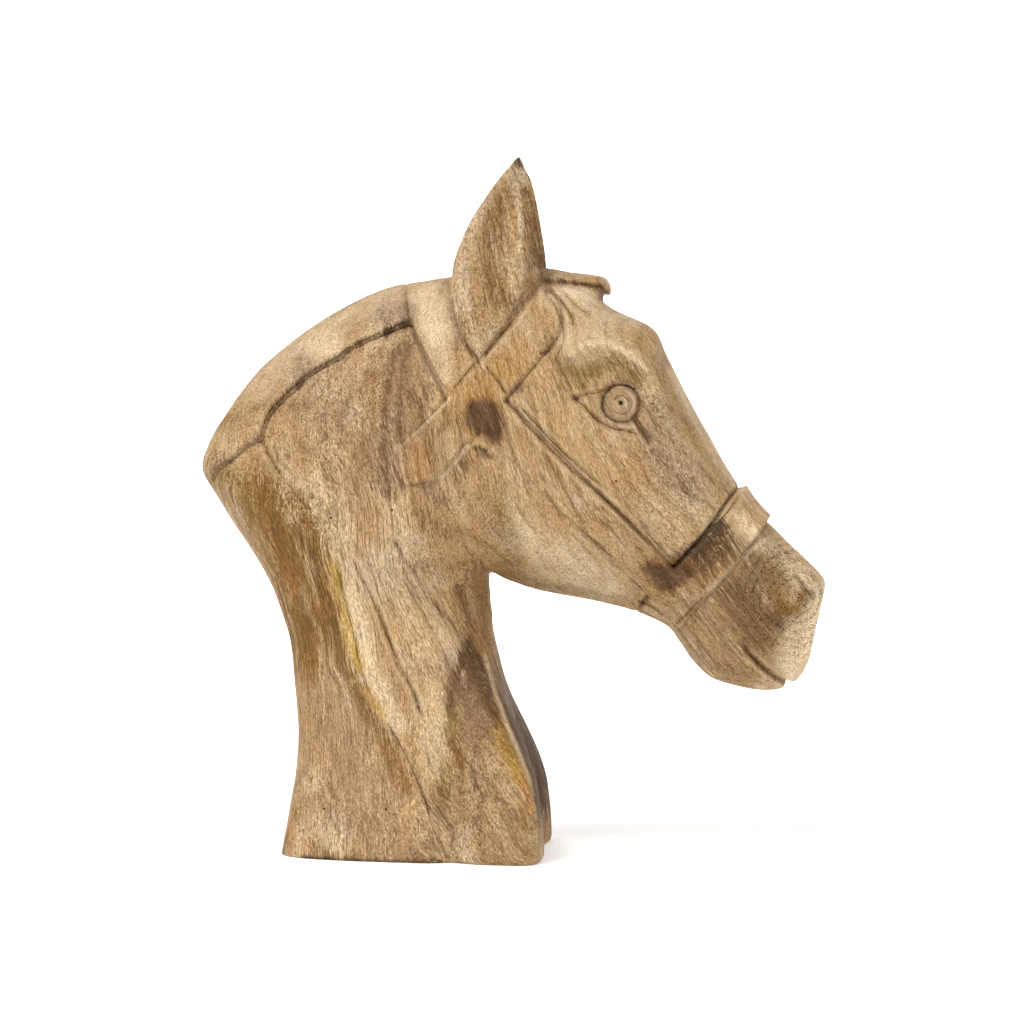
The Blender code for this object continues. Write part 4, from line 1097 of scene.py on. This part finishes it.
SMOOTH_BELOW = math.radians(50)
fit(neck, "horse_head")
bpy.ops.object.shade_smooth_by_angle(angle=SMOOTH_BELOW)
neck.data.materials.clear()


class Tone:
    """One value, vector or colour over the wood, which takes part in sums as a number does."""

    def __init__(self, finish, socket):
        self.finish, self.socket = finish, socket

    def sum_of(self, operation, *values):
        return self.finish.node("ShaderNodeMath", {"operation": operation}, values)

    def __add__(self, other):
        return self.sum_of("ADD", self, other)

    def __sub__(self, other):
        return self.sum_of("SUBTRACT", self, other)

    def __rsub__(self, other):
        return self.sum_of("SUBTRACT", other, self)

    def __mul__(self, other):
        return self.sum_of("MULTIPLY", self, other)

    def __truediv__(self, other):
        return self.sum_of("DIVIDE", self, other)

    def __pow__(self, other):
        return self.sum_of("POWER", self, other)

    def __abs__(self):
        return self.sum_of("ABSOLUTE", self)

    __radd__ = __add__
    __rmul__ = __mul__

    def least(self, other):
        return self.sum_of("MINIMUM", self, other)

    def most(self, other):
        return self.sum_of("MAXIMUM", self, other)

    def wave(self):
        return self.sum_of("SINE", self)

    def turn(self, other):
        return self.sum_of("ARCTAN2", self, other)

    def between(self, low, high, start=0.0, end=1.0):
        """start up to low, end above high, and smooth between."""
        settings = {"interpolation_type": "SMOOTHSTEP"}
        return self.finish.node("ShaderNodeMapRange", settings, (self, low, high, start, end))


class Finish:
    """A material, and the one way that its nodes are added."""

    def __init__(self, name):
        self.material = bpy.data.materials.new(name)
        self.material.use_nodes = True
        self.tree = self.material.node_tree
        self.shader = self.tree.nodes["Principled BSDF"]

    def node(self, kind, settings, sockets, output=0):
        made = self.tree.nodes.new(kind)
        for name, value in settings.items():
            setattr(made, name, value)
        pairs = sockets.items() if isinstance(sockets, dict) else enumerate(sockets)
        for name, value in pairs:
            self.put(made.inputs[name], value)
        return Tone(self, made.outputs[output])

    def put(self, socket, value):
        if isinstance(value, Tone):
            self.tree.links.new(value.socket, socket)
        else:
            socket.default_value = value

    def noted(self, name, output="Fac"):
        return self.node("ShaderNodeAttribute", {"attribute_name": name}, {}, output)

    def mixed(self, first, second, share):
        """The first colour where share is 0, the second where it is 1."""
        settings = {"data_type": "RGBA", "clamp_factor": True}
        sockets = {0: share}
        for number, colour in ((6, first), (7, second)):
            sockets[number] = colour if isinstance(colour, Tone) else (*linear(colour), 1.0)
        return self.node("ShaderNodeMix", settings, sockets, 2)

    def noise(self, where, scale, detail=2.0, roughness=0.5, output="Fac"):
        sockets = {"Vector": where, "Scale": scale, "Detail": detail, "Roughness": roughness}
        return self.node("ShaderNodeTexNoise", {}, sockets, output)

    def scaled(self, colour, amount):
        return self.node("ShaderNodeVectorMath", {"operation": "SCALE"}, {0: colour, 3: amount})

    def vector(self, x, y, z):
        return self.node("ShaderNodeCombineXYZ", {}, (x, y, z))


# The grain
# The fibres run down the neck and lean forward more and more towards the face. The vessels
# are short dark strokes along them, and dots where a knife has cut across them.
MILLIMETRE = 0.001
GRAIN_LEAN = 0.21
GRAIN_BEND = 0.54
GRAIN_BEND_FROM = (-60.0, 60.0)
GRAIN_LEVEL = 80.0
GRAIN_STRETCH = 0.04
PITH = (-30.0, 62.0)
RING_WIDTH = 6.5
PORE_SPACING = (0.9, 0.9, 4.2)
FLECK_SIZE = (0.36, 0.36, 3.6)
SPECK_SIZE = (0.28, 0.28, 1.3)
HATCH_STRETCH = 0.045
SEAM_STRETCH = 0.012
THREAD_LEAN = 0.07

wood = Finish("oiled_mango_wood")
at = wood.node("ShaderNodeTexCoord", {}, {}, "Object")
x, y, z = (
    wood.node("ShaderNodeSeparateXYZ", {}, {0: at}, axis) / MILLIMETRE for axis in ("X", "Y", "Z")
)
place_mm = wood.vector(x, y, z)


def wander(scale, detail, amount, roughness=0.5):
    """A push to either side that changes slowly from place to place."""
    return (wood.noise(place_mm, scale, detail, roughness) - 0.5) * amount


lean = x.between(*GRAIN_BEND_FROM) * GRAIN_BEND
across = x + z * GRAIN_LEAN + (z - GRAIN_LEVEL) * lean
across = across + wander(0.018, 2.0, 16)
across = across + wander(0.11, 2.0, 1.8)
depth = y + wander(0.02, 1.0, 10)


def along_fibre(stretch):
    """Places drawn out along the fibres, where a noise runs in streaks."""
    return wood.vector(across, y, z * stretch)


def in_cells(size):
    """Places counted in steps as long, wide and high as one vessel, fleck or speck."""
    return wood.vector(across / size[0], y / size[1], z / size[2])


fibre = along_fibre(GRAIN_STRETCH)
streak_wide = wood.noise(fibre, 0.10, 3.0, 0.55)
streak = wood.noise(fibre, 0.42, 3.0, 0.62)
streak_fine = wood.noise(fibre, 1.5, 3.0, 0.65)
hatch = wood.noise(along_fibre(HATCH_STRETCH), 2.2, 2.0, 0.6)
long_seam = wood.noise(along_fibre(SEAM_STRETCH), 0.9, 2.0, 0.5)
cloud = wood.noise(place_mm, 0.045, 3.0, 0.6)
grit = wood.noise(place_mm, 1.1, 2.0, 0.6)

radius = ((across - PITH[0]) ** 2 + (depth - PITH[1]) ** 2) ** 0.5
ring_phase = radius * (2 * math.pi / RING_WIDTH) + (streak_wide - 0.5) * 6
ring = (ring_phase.wave() * 0.5 + 0.5) ** 2

pore_sockets = {"Vector": in_cells(PORE_SPACING), "Scale": 1.0}
pore_cell = wood.node("ShaderNodeTexVoronoi", {}, pore_sockets)
pore = pore_cell.between(0.14, 0.34, 1.0, 0.0) * streak.between(0.3, 0.6, 0.35, 1.0)
fleck_place = in_cells(FLECK_SIZE)
fleck = wood.noise(fleck_place, 1.0, 3.0, 0.7)
stroke = wood.noise(fleck_place, 0.62, 2.0, 0.6).between(0.57, 0.63)
thread_place = wood.vector(x + z * THREAD_LEAN, y, z * SEAM_STRETCH)
thread = wood.noise(thread_place, 1.7, 2.0, 0.6)
speck = wood.noise(in_cells(SPECK_SIZE), 1.0, 1.0, 0.5)

# The oiled surface
# Tones are mixed from the streaks, the rings, the stains and the painted light and shade,
# then the vessels, the cuts with dust and painted shade in them, and the lines with painted
# shade beside them are laid over. A painted highlight pales the wood beside each line.
STRAW = (198, 172, 135)
TAN = (175, 143, 103)
UMBER = (140, 106, 66)
AMBER = (176, 136, 84)
PALE_STRAW = (196, 176, 148)
LATE_WOOD = (132, 98, 62)
RING_EDGE = (104, 74, 44)
STREAK_BROWN = (116, 84, 50)
HATCH_BROWN = (104, 75, 45)
SEAM_BROWN = (92, 66, 40)
THREAD_BROWN = (110, 80, 50)
BLOT_HALO = (136, 92, 50)
BLOT_LIGHT = (102, 78, 58)
BLOT_DARK = (66, 46, 32)
PORE_BROWN = (78, 54, 33)
CUT_DUST_AND_SHADE = (92, 66, 42)
EDGE_HIGHLIGHT_PALE = (212, 188, 152)
LINE_AND_SHADE_BROWN = (62, 43, 28)
HOLE_BROWN = (44, 32, 22)
BALL_BROWN = (148, 116, 80)
BALL_HIGHLIGHT = (196, 172, 142)
RING_BROWN = (66, 47, 32)
PUPIL_BROWN = (34, 25, 20)
END_GRAIN_CENTRE = (104, 95)
END_GRAIN_FADES = (30.0, 16.0)
MUZZLE_STARTS = (70.0, 84.0)
HEAD_STARTS = ((-24.0, 10.0), (92.0, 112.0))
FOOT_STARTS = ((-20.0, -34.0), (92.0, 62.0))
ARC_TURNS = 2.1
PITTED_SCALE = 0.9
LINE_HALF_WIDTHS = (0.15, 0.6)
SHADE_REACH = 1.8
EDGE_HIGHLIGHT_OFF_LINE = 1.9
PINHOLES = [(-66.2, 18.1), (-43.0, 18.9), (39.3, 136.4), (-41.4, 126.0), (-63.6, 123.1)]
PINHOLE_EDGE = (0.25, 0.6)
NEAR_SIDE = (-5.0, 0.0)
BALL_EDGE = (EYE_RADIUS - 0.6, EYE_RADIUS + 0.4)
BALL_HIGHLIGHT_RADIUS = 4.9
BALL_HIGHLIGHT_TURN = 0.1
PUPIL_EDGE = (0.5, 1.1)
BUMP_STRENGTH = 0.8
OILED_SHINE = 0.04


def off_centre(centre):
    """How far each place is from a point of the side view."""
    return ((x - centre[0]) ** 2 + (z - centre[1]) ** 2) ** 0.5


ear = wood.noted("ear")
off_nostril = off_centre(END_GRAIN_CENTRE)
end_grain = off_nostril.between(*END_GRAIN_FADES) * x.between(*MUZZLE_STARTS)
fibrous = 1 - end_grain * 0.8
on_head = x.between(*HEAD_STARTS[0]) * z.between(*HEAD_STARTS[1])
straight = z.between(*FOOT_STARTS[1]) * x.between(*FOOT_STARTS[0])
coarse = fibrous * (1 - on_head * 0.4)
tone = wood.mixed(STRAW, TAN, streak_wide.between(0.34, 0.60))
tone = wood.mixed(tone, UMBER, streak.between(0.50, 0.74) * 0.45 * coarse)
tone = wood.mixed(tone, AMBER, cloud.between(0.5, 0.68) * 0.4)
tone = wood.mixed(tone, PALE_STRAW, cloud.between(0.48, 0.32) * 0.5)
tone = wood.mixed(tone, LATE_WOOD, ring * 0.25 * coarse)
tone = wood.mixed(tone, RING_EDGE, ring ** 4 * streak.between(0.42, 0.58) * 0.4)
tone = wood.mixed(tone, STREAK_BROWN, streak_fine.between(0.52, 0.78) * 0.45 * fibrous)
hatched = hatch.between(0.52, 0.70) * (0.52 - ear * 0.34) * coarse
tone = wood.mixed(tone, HATCH_BROWN, hatched)
tone = wood.mixed(tone, SEAM_BROWN, long_seam.between(0.60, 0.67) * 0.55 * coarse)
tone = wood.mixed(tone, THREAD_BROWN, thread.between(0.53, 0.66) * straight * 0.75)

streaked = (streak + streak_fine + hatch - 1.5) * 0.6
stain_and_painted_light = wood.noted("stain_and_painted_light")
drifting = wood.noise(along_fibre(0.2), 0.22, 2.0, 0.5) - 0.5
uneven = streaked * 2.6 * fibrous + drifting
stain_and_painted_light = (stain_and_painted_light + uneven * stain_and_painted_light.between(0.03, 0.6)).between(0.0, 0.95) * 0.92
stain_and_painted_light_colour = wood.noted("stain_and_painted_light_colour", "Color")
stain_and_painted_light_dark = wood.scaled(stain_and_painted_light_colour, 1.06 - streaked.between(-0.02, 0.16) * 0.4)
tone = wood.mixed(tone, stain_and_painted_light_dark, stain_and_painted_light)

dots = wood.noise(place_mm, 1.7, 3.0, 0.7).between(0.45, 0.58)
arc_phase = off_nostril * ARC_TURNS + wander(0.10, 2.0, 10)
arcs = (arc_phase.wave() * 0.5 + 0.5) ** 2
tone = wood.scaled(tone, 1 - end_grain * (dots * (0.36 + arcs * 0.5) - 0.08))

blot = wood.noted("blot") + (grit - 0.5) * 1.4 + streaked * 6.0
blot_tone = wood.mixed(BLOT_LIGHT, BLOT_DARK, drifting.between(-0.14, 0.14))
tone = wood.mixed(tone, BLOT_HALO, blot.between(-2.8, -0.6) * 0.5)
tone = wood.mixed(tone, blot_tone, blot.between(-1.8, 1.4) * 0.9)

tinge = wood.node("ShaderNodeSeparateXYZ", {}, {0: stain_and_painted_light_colour}, "X")
bare = (1 - stain_and_painted_light * tinge.between(0.42, 0.6) * 0.75) * fibrous * (1 - straight * 0.6)
tone = wood.scaled(tone, 1.14 - fleck.between(0.42, 0.62) * 0.36 * bare)
tone = wood.mixed(tone, SEAM_BROWN, stroke * 0.34 * bare)
tone = wood.scaled(tone, 1.3 - speck.between(0.34, 0.66) * 0.6)
tone = wood.mixed(tone, PORE_BROWN, pore * 0.35 * bare)

pitted = wood.noise(place_mm, PITTED_SCALE, 3.0, 0.7).between(0.48, 0.62)
tone = wood.scaled(tone, 1 - (pitted * 0.42 - 0.06) * ear)

# The cuts are darkened by dust and by painted shade, deeper cuts more.
cut = wood.noted("cut") + (grit - 0.5) * 0.4
tone = wood.mixed(tone, CUT_DUST_AND_SHADE, cut.between(0.4, 1.7) * 0.38)

lines_and_shade = 0.0
edge_highlight = 0.0
for name in LINE_SETS:
    line_strength = wood.noted(name)
    off_line = abs(wood.noted(name + "_across") + wander(0.8, 3.0, 0.8, 0.6))
    broken = (grit + streaked + cloud - 0.5).between(0.25, 0.6, 0.25, 1.0)
    half_width = line_strength * LINE_HALF_WIDTHS[1] + LINE_HALF_WIDTHS[0]
    line = (1 - (off_line / half_width).least(1.0)) * broken
    # Painted shade in a soft band to each side of a line, as in a groove's shadow.
    shade = (1 - (off_line / SHADE_REACH).least(1.0)) ** 2 * line_strength * 0.4
    lines_and_shade = (line * line_strength.between(0.0, 0.6)).most(shade) + lines_and_shade
    # A painted highlight on the wood just beside each line, as on a lit ridge.
    beside = abs(off_line - EDGE_HIGHLIGHT_OFF_LINE).between(0.2, 1.0, 1.0, 0.0)
    edge_highlight = beside * line_strength + edge_highlight
lines_and_shade = lines_and_shade.least(1.0)
tone = wood.mixed(tone, EDGE_HIGHLIGHT_PALE, edge_highlight * 0.35 * (1 - stain_and_painted_light))
tone = wood.mixed(tone, LINE_AND_SHADE_BROWN, lines_and_shade * 0.8)

for centre in PINHOLES:
    hole = off_centre(centre).between(*PINHOLE_EDGE, 1.0, 0.0)
    hole = hole * y.between(*NEAR_SIDE, 1.0, 0.0)
    tone = wood.mixed(tone, HOLE_BROWN, hole * 0.95)

off_eye = off_centre(EYE) + wander(0.22, 2.0, 2.6) + (hatch - 0.5) * 1.2
on_ball = off_eye.between(*BALL_EDGE, 1.0, 0.0)
eye_turn = (z - EYE[1]).turn(x - EYE[0])
tone = wood.mixed(tone, BALL_BROWN, on_ball * 0.25)
# A painted highlight on the front of the eyeball, in an arc round its middle.
ball_highlight = abs(off_eye - BALL_HIGHLIGHT_RADIUS).between(0.2, 1.3, 1.0, 0.0)
ball_highlight = ball_highlight * abs(eye_turn + BALL_HIGHLIGHT_TURN).between(0.5, 1.3, 1.0, 0.0)
tone = wood.mixed(tone, BALL_HIGHLIGHT, ball_highlight * 0.6)
for ring_radius, half_width, strength, phase in EYE_LINES:
    arc = (eye_turn + phase).wave().between(-1.0, 0.2, 0.35, 1.0)
    arc = arc * (grit + cloud - 0.5).between(0.3, 0.6, 0.45, 1.0)
    ring_line = abs(off_eye - ring_radius).between(0.1, half_width + 0.3, 1.0, 0.0) * strength
    tone = wood.mixed(tone, RING_BROWN, ring_line * arc)
pupil = off_centre(EYE).between(*PUPIL_EDGE, 0.95, 0.0)
tone = wood.mixed(tone, PUPIL_BROWN, pupil)

roughness = 0.54 + streak * 0.12 + pore * 0.15 + lines_and_shade * 0.15
height = streak_fine * 0.10 + streak * 0.06 - pore * 0.12 - fleck * 0.14 - hatch * 0.12
height = height - lines_and_shade * 0.4 - pitted * ear * 0.12 - stroke * 0.12
bump_sockets = {"Strength": BUMP_STRENGTH, "Distance": MILLIMETRE, "Height": height}
bump = wood.node("ShaderNodeBump", {}, bump_sockets)
wood.put(wood.shader.inputs["Base Color"], tone)
wood.put(wood.shader.inputs["Roughness"], roughness)
wood.put(wood.shader.inputs["Normal"], bump)
wood.shader.inputs["Specular IOR Level"].default_value = OILED_SHINE
neck.data.materials.append(wood.material)
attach(neck, "root")
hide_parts("horse_head")

# The table
# The figure stands on a plain sheet of white paper, which lies flat under it and curves
# up into a wall far behind it.
SHEET_HALF = 3.2
SHEET_BEND = 0.8
BEND_STEPS = 12
FLAT_WITHIN = 1e-6
PAPER_WHITE = (0.94, 0.94, 0.94, 1.0)
PAPER_ROUGHNESS = 0.9
PAPER_GLOW = 0.22

bpy.ops.object.select_all(action="DESELECT")
bpy.ops.mesh.primitive_plane_add(size=2 * SHEET_HALF, location=(0, 0, 0))
sheet = bpy.context.object
sheet.name = "white_sheet"
bpy.ops.object.mode_set(mode="EDIT")
bpy.ops.mesh.select_all(action="DESELECT")
bpy.ops.object.mode_set(mode="OBJECT")
for edge in sheet.data.edges:
    edge.select = all(sheet.data.vertices[i].co.y > 0 for i in edge.vertices)
bpy.ops.object.mode_set(mode="EDIT")
bpy.ops.mesh.select_mode(type="EDGE")
bpy.ops.mesh.extrude_region_move(TRANSFORM_OT_translate={"value": (0, 0, 2 * SHEET_HALF)})
bpy.ops.mesh.select_all(action="DESELECT")
bpy.ops.object.mode_set(mode="OBJECT")
for edge in sheet.data.edges:
    ends = [sheet.data.vertices[i].co for i in edge.vertices]
    edge.select = all(end.y > 0 and end.z < FLAT_WITHIN for end in ends)
bpy.ops.object.mode_set(mode="EDIT")
bpy.ops.mesh.bevel(offset=SHEET_BEND, segments=BEND_STEPS, affect="EDGES")
bpy.ops.object.mode_set(mode="OBJECT")
bpy.ops.object.shade_smooth()
paper = Finish("white_paper")
paper.shader.inputs["Base Color"].default_value = PAPER_WHITE
paper.shader.inputs["Roughness"].default_value = PAPER_ROUGHNESS
paper.shader.inputs["Emission Color"].default_value = (1.0, 1.0, 1.0, 1.0)
paper.shader.inputs["Emission Strength"].default_value = PAPER_GLOW
sheet.data.materials.append(paper.material)

# The lights
# One wide soft light stands high on the left and a weaker one at the front right, in a
# white room. Two more light the wall behind.
WARM_WHITE = (1.0, 0.99, 0.97)
PURE_WHITE = (1.0, 1.0, 1.0)
FIGURE_MIDDLE = (0.0, 0.0, 0.12)
ROOM_GLOW = 0.36


def lamp(name, place, size, power, colour, aim=FIGURE_MIDDLE):
    """A square light in watts, turned so that it faces its aim."""
    bpy.ops.object.light_add(type="AREA", location=place)
    light = bpy.context.object
    light.name = name
    light.data.size = size
    light.data.energy = power
    light.data.color = colour
    way = np.array(aim) - np.array(place)
    flat = math.hypot(way[0], way[1])
    light.rotation_euler = (math.atan2(flat, -way[2]), 0, math.atan2(-way[0], way[1]))


lamp("key_light", (-0.8, -1.0, 1.6), 0.9, 32.5, WARM_WHITE)
lamp("fill_light", (1.2, -1.2, 1.3), 1.2, 12.0, WARM_WHITE)
for side in (-1, 1):
    wall_aim = (0.6 * side, SHEET_HALF, 0.9)
    lamp("wall_light", (1.2 * side, 1.0, 1.2), 1.5, 80.0, PURE_WHITE, wall_aim)

room = bpy.data.worlds.new("white_room")
room.use_nodes = True
background = room.node_tree.nodes["Background"]
background.inputs["Color"].default_value = (*PURE_WHITE, 1.0)
background.inputs["Strength"].default_value = ROOM_GLOW
bpy.context.scene.world = room
bpy.context.scene.view_settings.view_transform = "Standard"

# The camera
# It stands level with the middle of the figure, a little to the right of square on, and
# its long lens sees the outline almost without perspective.
CAMERA_TURN = math.radians(3.2)
CAMERA_DISTANCE = 1.15
AIM_HEIGHT = 0.1253
LENS_LENGTH = 109.3
SENSOR_WIDTH = 36.0

camera_x = math.sin(CAMERA_TURN) * CAMERA_DISTANCE
camera_y = -math.cos(CAMERA_TURN) * CAMERA_DISTANCE
level = (math.radians(90), 0, CAMERA_TURN)
bpy.ops.object.camera_add(location=(camera_x, camera_y, AIM_HEIGHT), rotation=level)
camera = bpy.context.object
camera.name = "camera"
camera.data.lens = LENS_LENGTH
camera.data.sensor_width = SENSOR_WIDTH
bpy.context.scene.camera = camera
